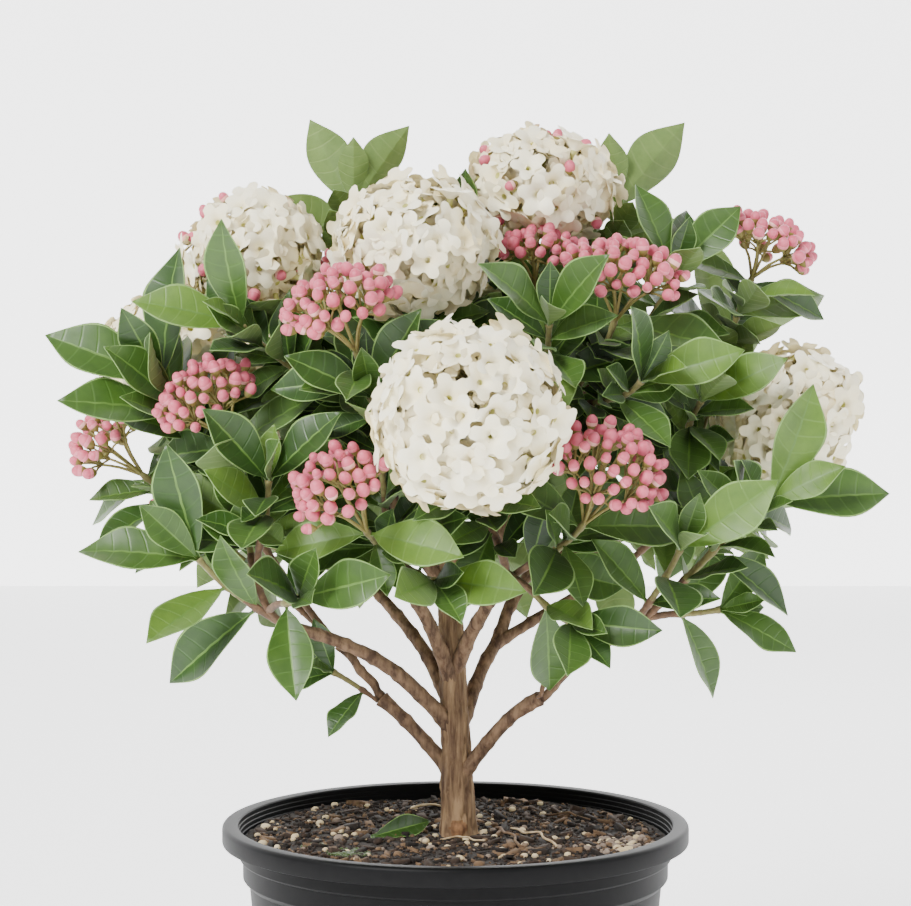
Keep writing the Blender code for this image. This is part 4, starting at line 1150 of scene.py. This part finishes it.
twigs = Joined()
for shoots in masses.values():
    for path, foot_radius, centre, kind, size, way, turns, _ in shoots:
        if kind == WHITE:
            path = path + [centre - way * size[1] * STALK_INTO_HEAD]
        nodes = [point for point, _ in node_places(path, FIRST_NODE[kind], len(turns))]
        add_twig(twigs, path, foot_radius, nodes)
twig_colours = [
    new_finish("shoot_brown", (116, 86, 60), (84, 62, 44), 0.8, 420, 0.25, sharpness=4.0, sheen=0.15),
    new_finish("shoot_olive", (124, 122, 66), (106, 92, 52), 0.75, 420, 0.2, sheen=0.25),
]
twigs.make("twigs", twig_colours, "foliage")

# %% [markdown]
# ## Leaves
# A viburnum leaf is an oval blade with a sharp tip, folded a little along its midrib and
# quilted between six or seven pairs of side veins, with a pale downy edge. One blade is modelled
# as a grid whose columns follow the midrib and the edge, and is given a thickness. Every leaf is
# then that grid, shaped by formulas with its own fold, droop, twist and wave.

# %% Model one blade
LEAF_ROWS = 2 * LEAF_VEINS
LEAF_COLUMNS = (-1.0, -0.93, -0.5, -0.05, 0.05, 0.5, 0.93, 1.0)
GRID_THICKNESS = 0.1
TOP, MIDRIB, EDGE, UNDER = range(4)


def model_blade():
    """The grid as arrays, and which kind of surface each of its faces is."""
    start_shape()
    steps = len(LEAF_COLUMNS) - 1
    bpy.ops.mesh.primitive_grid_add(x_subdivisions=steps, y_subdivisions=LEAF_ROWS, size=2)
    blade = bpy.context.object
    thick = blade.modifiers.new("thickness", "SOLIDIFY")
    thick.thickness = GRID_THICKNESS
    thick.offset = -1
    bpy.ops.object.modifier_apply(modifier="thickness")
    ups = np.array([face.normal.z for face in blade.data.polygons])
    strip = np.abs([face.center.x for face in blade.data.polygons]) * steps
    points, corners, sizes = read_shape()
    across = np.array(LEAF_COLUMNS)[np.rint((points[:, 0] + 1) / 2 * steps).astype(int)]
    up_blade = (points[:, 1] + 1) / 2
    kinds = np.where(strip < 0.5, MIDRIB, np.where(strip > steps - 1.5, EDGE, TOP))
    kinds = np.where(ups < -0.5, UNDER, np.where(np.abs(ups) < 0.5, EDGE, kinds))
    uvs = np.stack((across * 0.5 + 0.5, up_blade), axis=1)[corners]
    return across, up_blade, points[:, 2] < -GRID_THICKNESS / 2, corners, sizes, kinds, uvs


BLADE_U, BLADE_T, BLADE_UNDER, BLADE_CORNERS, BLADE_SIZES, BLADE_KINDS, BLADE_UVS = model_blade()
print("one leaf has", int((BLADE_SIZES - 2).sum()), "triangles")

# %% Shape a leaf
LEAF_STALK = 0.09  # the share of the length that is stalk
STALK_HALF, TIP_HALF = 0.65, 0.10
WIDEST, FOOT_POWER, TIP_POWER = 0.90, 0.62, 0.34  # where the blade is widest, and how full its ends are
LEAF_FULL = 1.04  # the blade against the plain solid's width
FOLD_RANGE, FOLD_SOFT, FOLD_LEVEL = (0.12, 0.48), 0.02, 0.14
LEAF_QUILT, QUILT_LENGTH = 0.28, 45
MIDRIB_HALF, MIDRIB_SINK, MIDRIB_SKIN = 0.06, 0.35, 0.45
WAVE_HEIGHT, WAVE_COUNT, WAVE_START = (0.2, 1.1), (7, 11), (0, 6)
DROOP_RANGE, TWIST_RANGE = (0.9, 1.5), (-0.35, 0.35)
LEAF_SKIN, STALK_SKIN, STALK_SKIN_RUN = 0.30, 0.9, 0.07
VEIN_SWEEP, SWEEP_POWER = 0.20, 1.4


def leaf_cloud(leaf, rng):
    """The points of one leaf, in millimetres."""
    root, way, normal, length, width = leaf
    t, u = BLADE_T, BLADE_U
    blade = np.clip((t - LEAF_STALK) / (1 - LEAF_STALK), 0, 1)
    swell = np.sin(np.pi * blade**WIDEST)
    half = np.clip(swell, 0, 1) ** (FOOT_POWER + TIP_POWER * blade) * width * 0.5 * LEAF_FULL
    half = np.maximum(half, np.where(blade < 0.5, STALK_HALF, TIP_HALF))
    rib = np.abs(u) < MIDRIB_HALF
    rise = rng.uniform(*FOLD_RANGE) * half * (np.sqrt(u * u + FOLD_SOFT) - FOLD_LEVEL)
    quilt = LEAF_QUILT * (length / QUILT_LENGTH) * swell * (1 - u**4)
    rise -= quilt * np.cos(2 * np.pi * LEAF_VEINS * t)
    rise -= np.where(rib, MIDRIB_SINK, 0) * swell
    wave = rng.uniform(*WAVE_HEIGHT) * np.sin(t * rng.uniform(*WAVE_COUNT) + rng.uniform(*WAVE_START))
    rise += wave * u * u * swell
    rise -= LEAF_DROOP * length * (t * t - LEAF_RISE * t) * rng.uniform(*DROOP_RANGE)
    skin = LEAF_SKIN + STALK_SKIN * np.exp(-t / STALK_SKIN_RUN) + np.where(rib, MIDRIB_SKIN, 0) * (1 - t)
    rise -= np.where(BLADE_UNDER, skin, 0)
    ahead = t * length + VEIN_SWEEP * length * np.abs(u) ** SWEEP_POWER * swell * (1 - t)
    twist = rng.uniform(*TWIST_RANGE) * t
    out = half * u * np.cos(twist) - rise * np.sin(twist)
    high = half * u * np.sin(twist) + rise * np.cos(twist)
    return (np.array(root) + np.outer(ahead, way) + np.outer(out, way.cross(normal))
            + np.outer(high, normal))


# %% Deal out the leaves
LEAF_GREENS, LEAF_SHAPE_SEED = 4, 77
leaf_colours = [
    new_finish("leaf_deep", (31, 56, 14), (24, 46, 11), 0.40, 130, 0.12, sheen=0.05, vein=(54, 90, 38)),
    new_finish("leaf_green", (44, 75, 17), (35, 63, 14), 0.40, 130, 0.12, sheen=0.05, vein=(66, 102, 42)),
    new_finish("leaf_fresh", (60, 92, 22), (49, 79, 18), 0.43, 130, 0.12, sheen=0.08, vein=(84, 120, 50)),
    new_finish("leaf_young", (88, 121, 33), (74, 106, 27), 0.48, 130, 0.12, sheen=0.1, vein=(110, 144, 66)),
    new_finish("leaf_midrib", (94, 128, 54), (80, 112, 44), 0.5, 200, 0.05),
    new_finish("leaf_edge", (124, 156, 82), (108, 142, 70), 0.6, 500, 0.1, sheen=0.15),
    new_finish("leaf_under", (104, 130, 62), (90, 116, 52), 0.65, 160, 0.15, sheen=0.1, vein=(130, 152, 86)),
]
GREEN_MIDDLE, GREEN_FLAT, GREEN_REACH = 290, 0.9, 130
GREEN_CHANCE, GREEN_OUTER, GREEN_STEPS = 0.65, 0.40, 3.5
BARE_TOP, BARE_HALF = 242.0, 34.0  # the space in front of the trunk where no leaf hangs
LEAF_PIECES = {"leaves_front": [], "leaves_back": [], "leaves_top": []}


def add_leaf(joined, leaf, green, rng):
    """One leaf whose upper side has this green. Midrib, edge and under side have their own slots."""
    slots = np.choose(BLADE_KINDS, (green, LEAF_GREENS, LEAF_GREENS + 1, LEAF_GREENS + 2))
    joined.add(leaf_cloud(leaf, rng), BLADE_CORNERS, BLADE_SIZES, slots, BLADE_UVS)


def pick_green(root, rng):
    """Leaves near the crown's outside and top are younger and paler."""
    outer = Vector((root.x, root.y - CROWN_MIDDLE, (root.z - GREEN_MIDDLE) * GREEN_FLAT)).length / GREEN_REACH
    chance = rng.random() * GREEN_CHANCE + outer * GREEN_OUTER
    return min(LEAF_GREENS - 1, int(chance * GREEN_STEPS))


def hides_trunk(leaf):
    """Whether a leaf's tip hangs in front of the trunk."""
    tip = leaf[0] + leaf[1] * leaf[3]
    return tip.z < BARE_TOP and abs(tip.x) < BARE_HALF and tip.y < 0


for mass in MASSES:
    side = "back" if "back" in mass else "top" if "top" in mass or "upper" in mass else "front"
    LEAF_PIECES["leaves_" + side].append(mass)
leaf_rng = random.Random(LEAF_SHAPE_SEED)
for piece, names in LEAF_PIECES.items():
    joined = Joined()
    for mass in names:
        for leaf in leaves[mass] + small_leaves[mass]:
            if not hides_trunk(leaf):
                add_leaf(joined, leaf, pick_green(leaf[0], leaf_rng), leaf_rng)
    joined.make(piece, leaf_colours, "foliage", names)

# %% [markdown]
# ## White flowers
# A head of open flowers is a ball of about a hundred small trumpets, each with five round lobes
# that bend back a little round a greenish throat. One flower is modelled from a circle of edges,
# extruded inwards three times and once down for its tube. Copies stand all over the ball, turned
# out from its middle, and two more layers lie deeper so that no gap shows through. Those hidden
# flowers have fewer points and no tube.

# %% Model one flower
FLOWER_POINTS, PLAIN_POINTS = 30, 20
FULL_RINGS = ((0.72, 0), (0.60, 0), (0.32, 0), (0.85, -0.35))  # each ring's share of the last, and drop
PLAIN_RINGS = ((0.50, 0), (0.30, 0))
FLOWER_RADIUS = 9.1
LOBES, NOTCH, LOBE_POWER = 5, 0.28, 0.50
LIMB_START = 0.15  # the lobes begin at this share of the radius
CUP_RISE, CUP_FALL, CUP_POWER = 0.75, 0.52, 2.6
FURROW = 0.15
TUBE_TOP, THROAT_REACH = -0.2, 0.16  # faces below or inside these are throat


def model_flower(count, rings):
    """A flower as arrays, and which of its faces are throat."""
    start_shape()
    bpy.ops.mesh.primitive_circle_add(vertices=count, radius=1.0, fill_type="NOTHING")
    edit_all()
    for share, drop in rings:
        bpy.ops.mesh.extrude_edges_move(TRANSFORM_OT_translate={"value": (0, 0, drop)})
        bpy.ops.transform.resize(value=(share, share, 1), center_override=(0, 0, 0))
    bpy.ops.mesh.edge_face_add()
    bpy.ops.mesh.select_all(action="SELECT")
    bpy.ops.mesh.normals_make_consistent(inside=False)
    points, corners, sizes = read_shape()
    reach = np.hypot(points[:, 0], points[:, 1])
    lobe = np.abs(np.cos(LOBES / 2 * np.arctan2(points[:, 1], points[:, 0])))
    outer = np.clip((reach - LIMB_START) / (1 - LIMB_START), 0, 1)
    stretch = 1 + (NOTCH + (1 - NOTCH) * lobe**LOBE_POWER - 1) * outer
    points[:, :2] *= stretch[:, None]
    reach = reach * stretch
    cup = CUP_RISE * reach - CUP_FALL * reach**CUP_POWER
    points[:, 2] += np.where(points[:, 2] > TUBE_TOP, cup + FURROW * lobe * outer, 0)
    low = by_face(np.minimum, points[:, 2], corners, sizes)
    far = by_face(np.maximum, reach, corners, sizes)
    return points * FLOWER_RADIUS, corners, sizes, (low < TUBE_TOP) | (far < THROAT_REACH)


FLOWER = model_flower(FLOWER_POINTS, FULL_RINGS)
DEEP_FLOWER = model_flower(PLAIN_POINTS, PLAIN_RINGS)
for label, shape in (("one flower", FLOWER), ("one hidden flower", DEEP_FLOWER)):
    print(label, "has", int((shape[2] - 2).sum()), "triangles")

# %% Model one bud
BUD_LENGTH, BUD_WIDTH = 7.0, 5.6
BUD_SEGMENTS, BUD_RINGS = 10, 7
BUD_GIRTH, BUD_TAPER, BUD_POINT = 0.86, 0.16, 0.10
SEAM_DEPTH, SEAM_FOOT = 0.08, -0.4


def model_bud():
    """A pear-shaped bud, with five shallow seams that meet at its tip."""
    start_shape()
    bpy.ops.mesh.primitive_uv_sphere_add(segments=BUD_SEGMENTS, ring_count=BUD_RINGS, radius=1.0)
    points, corners, sizes = read_shape()
    rise = points[:, 2]
    seams = SEAM_DEPTH * np.cos(LOBES * np.arctan2(points[:, 1], points[:, 0])) * (rise > SEAM_FOOT)
    girth = (BUD_GIRTH + BUD_TAPER * rise - BUD_POINT * rise**2) * (1 + seams)
    points[:, :2] *= girth[:, None] * BUD_WIDTH / 2
    points[:, 2] *= BUD_LENGTH / 2
    return points, corners, sizes, by_face(np.minimum, points[:, 2], corners, sizes)


BUD = model_bud()
print("one bud has", int((BUD[2] - 2).sum()), "triangles")

# %% Deal out the flowers and the buds
GOLDEN_ANGLE = math.pi * (3 - math.sqrt(5))
FLOWER_AREA = 138.0  # of the ball's surface for each flower
WHITE_LAYERS = ((1.0, 0.84), (0.9, 0.74), (0.5, 0.63))  # share of the count, and of the ball's radius
WHITE_LOWEST, DEPTH_RANGE = -0.9, (0.91, 1.05)
PLACE_JITTER, WAY_JITTER = 0.07, 0.50
FLOWER_SIZE, FLOWER_CUP, CREAM_SHARE = (0.84, 1.06), (0.7, 1.5), 0.25
YOUNG_HEADS = {"foliage_upper_left": 0.32, "foliage_top_right": 0.20}  # share still in bud
BUD_REACH = 1.12  # a bud stands out between the open flowers
BUD_SIZE, BUD_TIP, BUD_FOOT = (0.80, 1.12), 0.55, -0.85  # faces past these heights are tip or foot
PEACH_SHARE, YOUNG_PEACH = 0.1, 0.75
PETAL, CREAM_AND_SHADE, THROAT = range(3)
PINK, ROSE, PEACH, CALYX = range(4)


def head_points(count, lowest):
    """Directions spread evenly over a ball from its top down to this height."""
    found = []
    for i in range(count):
        rise = 1 - (1 - lowest) * (i + 0.5) / count
        ring = math.sqrt(max(0, 1 - rise * rise))
        found.append(Vector((ring * math.cos(i * GOLDEN_ANGLE), ring * math.sin(i * GOLDEN_ANGLE), rise)))
    return found


def jolt(rng, most):
    """A small step in any direction."""
    return Vector([rng.uniform(-most, most) for _ in range(3)])


def add_bud(buds, place, way, rng, peach=PEACH_SHARE):
    """One bud, with a darker tip and an olive foot."""
    points, corners, sizes, low = BUD
    turned = spun(way, rng.uniform(0, math.tau)) * rng.uniform(*BUD_SIZE)
    colour = PEACH if rng.random() < peach else rng.choice((PINK, PINK, ROSE))
    slots = np.where(low > BUD_TIP, ROSE, np.where(low < BUD_FOOT, CALYX, colour))
    buds.add(points @ turned.T + np.array(place), corners, sizes, slots)


def add_flower(flowers, place, way, rng, deep):
    """One open flower, more or less cupped."""
    points, corners, sizes, throat = DEEP_FLOWER if deep else FLOWER
    turned = spun(way, rng.uniform(0, math.tau)) * rng.uniform(*FLOWER_SIZE)
    turned[:, 2] *= rng.uniform(*FLOWER_CUP)
    # Every hidden flower takes the cream finish as painted shade deep in the head; a share of the outer ones
    # take it as a tone of their own.
    plain = CREAM_AND_SHADE if deep or rng.random() < CREAM_SHARE else PETAL
    flowers.add(points @ turned.T + np.array(place), corners, sizes, np.where(throat, THROAT, plain))


def white_head(flowers, buds, mass, centre, size, way, rng):
    """A ball of flowers in layers, with some buds where the head is young."""
    turned = turned_to(way)
    wide, high = size[0] / 2, size[1] / 2
    surface = 4 * math.pi * (wide * wide * high) ** (2 / 3)
    for layer, (share, reach) in enumerate(WHITE_LAYERS):
        for point in head_points(round(surface / FLOWER_AREA * share), WHITE_LOWEST):
            point = (point + jolt(rng, PLACE_JITTER)).normalized()
            depth = reach * rng.uniform(*DEPTH_RANGE)
            place = centre + turned @ Vector((point.x * wide, point.y * wide, point.z * high)) * depth
            out = turned @ Vector((point.x / wide, point.y / wide, point.z / high)).normalized()
            out = (out + jolt(rng, WAY_JITTER)).normalized()
            if layer == 0 and rng.random() < YOUNG_HEADS.get(mass, 0.0):
                add_bud(buds, centre + (place - centre) * BUD_REACH, out, rng, YOUNG_PEACH)
            else:
                add_flower(flowers, place, out, rng, layer > 0)

# %% [markdown]
# ## Bud clusters
# A cluster of buds is a dome on a short stem that parts into a few rays, each with its own group
# of buds on thin stalks. The knots where the rays end are placed first. Each bud is then joined
# to the knot nearest to it, as the real ones are.

# %% Bud clusters and their stalks
BUD_AREA = 50.0  # of the dome's surface for each bud
CLUSTER_LOWEST, CLUSTER_DEPTH = -0.22, (0.78, 1.03)
DOME_WIDE, DOME_HIGH = 0.45, 0.55  # shares of width and height in the dome's surface
KNOTS_AROUND = 5  # and one more in the middle
KNOT_ASIDE, KNOT_SINK = 0.5, 0.25
RAY_FOOT, RAY_BOW, RAY_STEP = 1.5, 1.0, 3.0
RAY_THICK, RAY_THIN = 0.75, 0.7
STALK_RADIUS, STALK_THICK, STALK_BOW, STALK_SIDES = 0.42, 1.2, 0.6, 5
BUD_LIFT, BUD_SEAT = 0.5, 0.4  # how far a bud turns upwards, and where its stalk ends in it
HIGH_HEAD = 350.0
HEAD_SEED, GROUP_SEED = 900, 10


def add_stalk(stalks, path, thick, thin):
    """A thin tube that tapers from its foot to its tip."""
    stalks.add(*tube_arrays(path, lambda share, *_: thick + (thin - thick) * share, STALK_SIDES), 0)


def bud_cluster(buds, stalks, foot, centre, size, way, rng):
    """The knots and their rays, then the buds with their stalks."""
    turned = turned_to(way)
    wide, high = size[0] / 2, size[1] / 2
    knots = []
    for group in range(KNOTS_AROUND + 1):
        turn = math.tau * group / KNOTS_AROUND
        aside = wide * (KNOT_ASIDE if group < KNOTS_AROUND else 0)
        knot = centre + turned @ Vector((math.cos(turn) * aside, math.sin(turn) * aside, -high * KNOT_SINK))
        knots.append(knot)
        ray = smooth([foot - way * RAY_FOOT, foot.lerp(knot, 0.5) + way * RAY_BOW, knot], RAY_STEP)
        add_stalk(stalks, ray, RAY_THICK, RAY_THICK * RAY_THIN)
    dome = 2 * math.pi * wide * (wide * DOME_WIDE + high * DOME_HIGH) * (1 - CLUSTER_LOWEST)
    for point in head_points(round(dome / BUD_AREA), CLUSTER_LOWEST):
        reach = rng.uniform(*CLUSTER_DEPTH)
        place = centre + turned @ Vector((point.x * wide, point.y * wide, point.z * high)) * reach
        knot = min(knots, key=lambda found: (found - place).length)
        out = ((place - knot).normalized() + way * BUD_LIFT).normalized()
        add_bud(buds, place, out, rng)
        base = place - out * BUD_LENGTH * BUD_SEAT
        add_stalk(stalks, [knot, knot.lerp(base, 0.5) + way * STALK_BOW, base],
                  STALK_RADIUS * STALK_THICK, STALK_RADIUS)


flower_colours = [
    new_finish("petal_white", (255, 250, 224), (252, 242, 204), 0.55, 90, 0.1, sheen=0.1),
    # Cream is a real tone on a share of the outer flowers and painted shade on all the hidden ones.
    new_finish("petal_cream_and_shade", (252, 244, 212), (246, 234, 194), 0.6, 90, 0.1),
    new_finish("petal_throat", (214, 210, 140), (196, 196, 112), 0.6, 200, 0.05),
]
bud_colours = [
    new_finish("bud_pink", (234, 142, 156), (218, 112, 132), 0.5, 260, 0.12, sheen=0.1),
    new_finish("bud_rose", (214, 104, 124), (194, 82, 104), 0.5, 260, 0.12, sheen=0.1),
    new_finish("bud_peach", (242, 190, 178), (236, 168, 160), 0.5, 260, 0.12, sheen=0.1),
    new_finish("bud_calyx", (142, 134, 70), (126, 112, 58), 0.6, 260, 0.12),
]
stalk_colours = [new_finish("stalk_olive", (138, 132, 72), (122, 104, 58), 0.7, 400, 0.1)]
flowers = {"front": Joined(), "top": Joined(), "back": Joined()}
buds, stalks = Joined(), Joined()
for order, (mass, twigs) in enumerate(masses.items()):
    for number, (path, _, centre, kind, size, way, _, _) in enumerate(twigs):
        rng = random.Random(HEAD_SEED + GROUP_SEED * order + number)
        side = "back" if centre.y > CROWN_MIDDLE else "top" if centre.z > HIGH_HEAD else "front"
        if kind == WHITE:
            white_head(flowers[side], buds, mass, centre, size, way, rng)
        elif kind == BUDS:
            bud_cluster(buds, stalks, path[-1], centre, size, way, rng)
for side, joined in flowers.items():
    joined.make("flowers_" + side, flower_colours, "foliage")
buds.make("pink_buds", bud_colours, "foliage")
stalks.make("flower_stalks", stalk_colours, "foliage")

# %% [markdown]
# ## Soil
# The mix is composted bark with some pale granules and grit. Its surface is a disc with a lumpy
# noise, and crumbs, bark chips, granules and stones lie on it, each kind modelled once as a
# rough pebble or splinter and dealt out with its own sizes. The patches of moss, the roots, the
# fallen leaf and the gravel lie where the photograph shows them.

# %% The soil's surface
SOIL_CELLS, SOIL_RADIUS = 150, 85.6
SOIL_TOP, SOIL_LUMPS, SOIL_MIDDLE = SOIL_LEVEL + 0.4, 1.7, 0.75
# Three noises, from broad to fine: how fast each changes, how high it is and where it starts.
SOIL_NOISES = ((0.03, 0.55, 1.5), (0.14, 0.5, 4.0), (0.6, 0.28, 8.0))


def soil_height(x, y):
    """How high the soil stands at a place."""
    height = SOIL_MIDDLE
    for fine, share, start in SOIL_NOISES:
        height += share * noise.noise(Vector((x * fine, y * fine, start)))
    return SOIL_TOP + SOIL_LUMPS * height


def model_soil(material):
    """A grid drawn out to a disc and lifted to the soil's height."""
    start_shape()
    bpy.ops.mesh.primitive_grid_add(x_subdivisions=SOIL_CELLS, y_subdivisions=SOIL_CELLS, size=2)
    points, corners, sizes = read_shape()
    x, y = points[:, 0].copy(), points[:, 1].copy()
    points[:, 0] = x * np.sqrt(1 - y * y / 2) * SOIL_RADIUS
    points[:, 1] = y * np.sqrt(1 - x * x / 2) * SOIL_RADIUS
    points[:, 2] = [soil_height(*point[:2]) for point in points]
    ground = Joined()
    ground.add(points, corners, sizes, 0)
    ground.make("soil_surface", [material], "soil")


soil_dark = new_finish("soil_dark", (42, 33, 27), (24, 18, 14), 0.95, 340, 1.2, sharpness=5.0)
model_soil(soil_dark)
plain_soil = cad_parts["soil"].data.materials
plain_soil.clear()
plain_soil.append(soil_dark)


# %% Crumbs, chips, granules and stones
def shaken(seed, most):
    """The open shape with its corners moved at random, as arrays."""
    bpy.ops.transform.vertex_random(offset=most, seed=seed)
    return read_shape()


def model_pebble(cuts, seed, most):
    """A rough ball."""
    start_shape()
    bpy.ops.mesh.primitive_ico_sphere_add(subdivisions=cuts, radius=1.0)
    edit_all()
    return shaken(seed, most)


def model_chip():
    """A rough block, which becomes a splinter when it is flattened."""
    start_shape()
    bpy.ops.mesh.primitive_cube_add(size=2)
    edit_all()
    bpy.ops.mesh.subdivide(number_cuts=1)
    return shaken(4, 0.28)


PEBBLES = [model_pebble(1, seed, 0.35) for seed in range(3)]
STONES = [model_pebble(2, seed + 5, 0.14) for seed in range(3)]
CHIPS = [model_chip()]
soil_colours = [
    soil_dark,
    new_finish("crumb_brown", (66, 50, 38), (42, 31, 24), 0.95, 300, 0.6),
    new_finish("chip_tan", (118, 92, 66), (82, 62, 44), 0.9, 300, 0.5),
    new_finish("granule_cream", (214, 196, 160), (188, 164, 122), 0.9, 260, 0.3),
    new_finish("stone_grey", (146, 128, 112), (112, 96, 84), 0.85, 240, 0.3),
    new_finish("moss_green", (64, 84, 18), (38, 56, 12), 0.9, 600, 0.4, sheen=0.3),
    new_finish("root_pale", (196, 176, 140), (160, 132, 96), 0.8, 300, 0.2),
]
DARK, BROWN, TAN, GRANULE, STONE, MOSS, ROOT = range(7)
ALL_OVER = SOIL_RADIUS - 2.5
# Each row: the shapes, how many, their sizes, how flat they are, their colours, and the middle
# and the radius of the patch that they lie in.
SCATTERED = (
    (PEBBLES, 4300, (1.0, 3.0), (0.6, 1.0), (DARK, DARK, BROWN, BROWN, TAN), (0, 0), ALL_OVER),
    (CHIPS, 520, (3.0, 9.0), (0.18, 0.5), (DARK, BROWN, BROWN, TAN), (0, 0), ALL_OVER),
    (STONES, 220, (1.6, 5.0), (0.7, 1.0), (GRANULE, GRANULE, TAN, STONE), (0, 0), ALL_OVER),
    (STONES, 170, (1.8, 4.8), (0.7, 1.0), (STONE, STONE, GRANULE, BROWN), (66, -22), 17),
    (PEBBLES, 520, (1.2, 3.0), (0.7, 1.0), (MOSS,), (-42, -35), 8),
    (PEBBLES, 150, (1.0, 2.2), (0.7, 1.0), (MOSS,), (-57, -19), 5),
)
TRUNK_ROOM, WALL_ROOM, GRIT_SEED = 8.5, 1.5, 41
SMALLER, THINNER, TILT = (0.6, 1.0), 0.8, 0.4
RISE, LIFT = 0.3, 0.2  # how far a crumb's middle is over the soil: a share of half its height, and more


def scatter(joined, shapes, count, sizes_from, flatness, colours, middle, spread, rng):
    """Deals out shapes over a round patch of the soil."""
    for _ in range(count):
        reach = spread * math.sqrt(rng.random())
        turn = rng.uniform(0, math.tau)
        x, y = middle[0] + reach * math.cos(turn), middle[1] + reach * math.sin(turn)
        size = rng.uniform(*sizes_from) * rng.uniform(*SMALLER)
        if not TRUNK_ROOM <= math.hypot(x, y) <= SOIL_RADIUS - size * 0.6 - WALL_ROOM:
            continue
        points, corners, faces = rng.choice(shapes) if len(shapes) > 1 else shapes[0]
        stretch = np.array((1, rng.uniform(*flatness), rng.uniform(*flatness) * THINNER)) * size / 2
        tilt = Vector((rng.uniform(-TILT, TILT), rng.uniform(-TILT, TILT), 1)).normalized()
        turned = spun(tilt, rng.uniform(0, math.tau))
        place = np.array((x, y, soil_height(x, y) + stretch[2] * RISE + LIFT))
        joined.add((points * stretch) @ turned.T + place, corners, faces, rng.choice(colours))


grit_rng = random.Random(GRIT_SEED)
grit = Joined()
for row in SCATTERED:
    scatter(grit, *row, grit_rng)
print("crumbs, chips and stones:", len(grit.shapes))

# %% Roots on the soil
# Each row: both ends, how thick it is and its colour.
ROOTS = (
    ((24, 9), (41, -27), 0.5, ROOT), ((-6, -12), (11, -18), 0.4, ROOT), ((18, 12), (26, -27), 0.6, TAN),
    ((-52, 20), (-38, 34), 0.5, BROWN), ((38, 40), (58, 30), 0.5, TAN), ((-20, 52), (-2, 60), 0.5, ROOT),
)
ROOT_STEPS, ROOT_SIDES, ROOT_WANDER, ROOT_LIFT, ROOT_BOW = 6, 6, 1.6, 0.9, 1.6
for start, end, thick, colour in ROOTS:
    path = []
    for step in range(ROOT_STEPS + 1):
        share = step / ROOT_STEPS
        x, y = (a + (b - a) * share + grit_rng.uniform(-ROOT_WANDER, ROOT_WANDER) for a, b in zip(start, end))
        path.append(Vector((x, y, soil_height(x, y) + ROOT_LIFT + ROOT_BOW * math.sin(math.pi * share))))
    grit.add(*tube_arrays(smooth(path, 1.5), lambda *_: thick, ROOT_SIDES), colour)
grit.make("soil_grit", soil_colours, "soil")

# %% A fallen leaf
fallen = Joined()
fallen_way = Vector((23, 10, 5)).normalized()
fallen_face = square_to(fallen_way, Vector((0.1, -0.85, 0.5)))
add_leaf(fallen, (Vector((-34, -8, SOIL_TOP + 2.5)), fallen_way, fallen_face, 27, 9.5), 1, random.Random(9))
fallen.make("fallen_leaf", leaf_colours, "foliage")
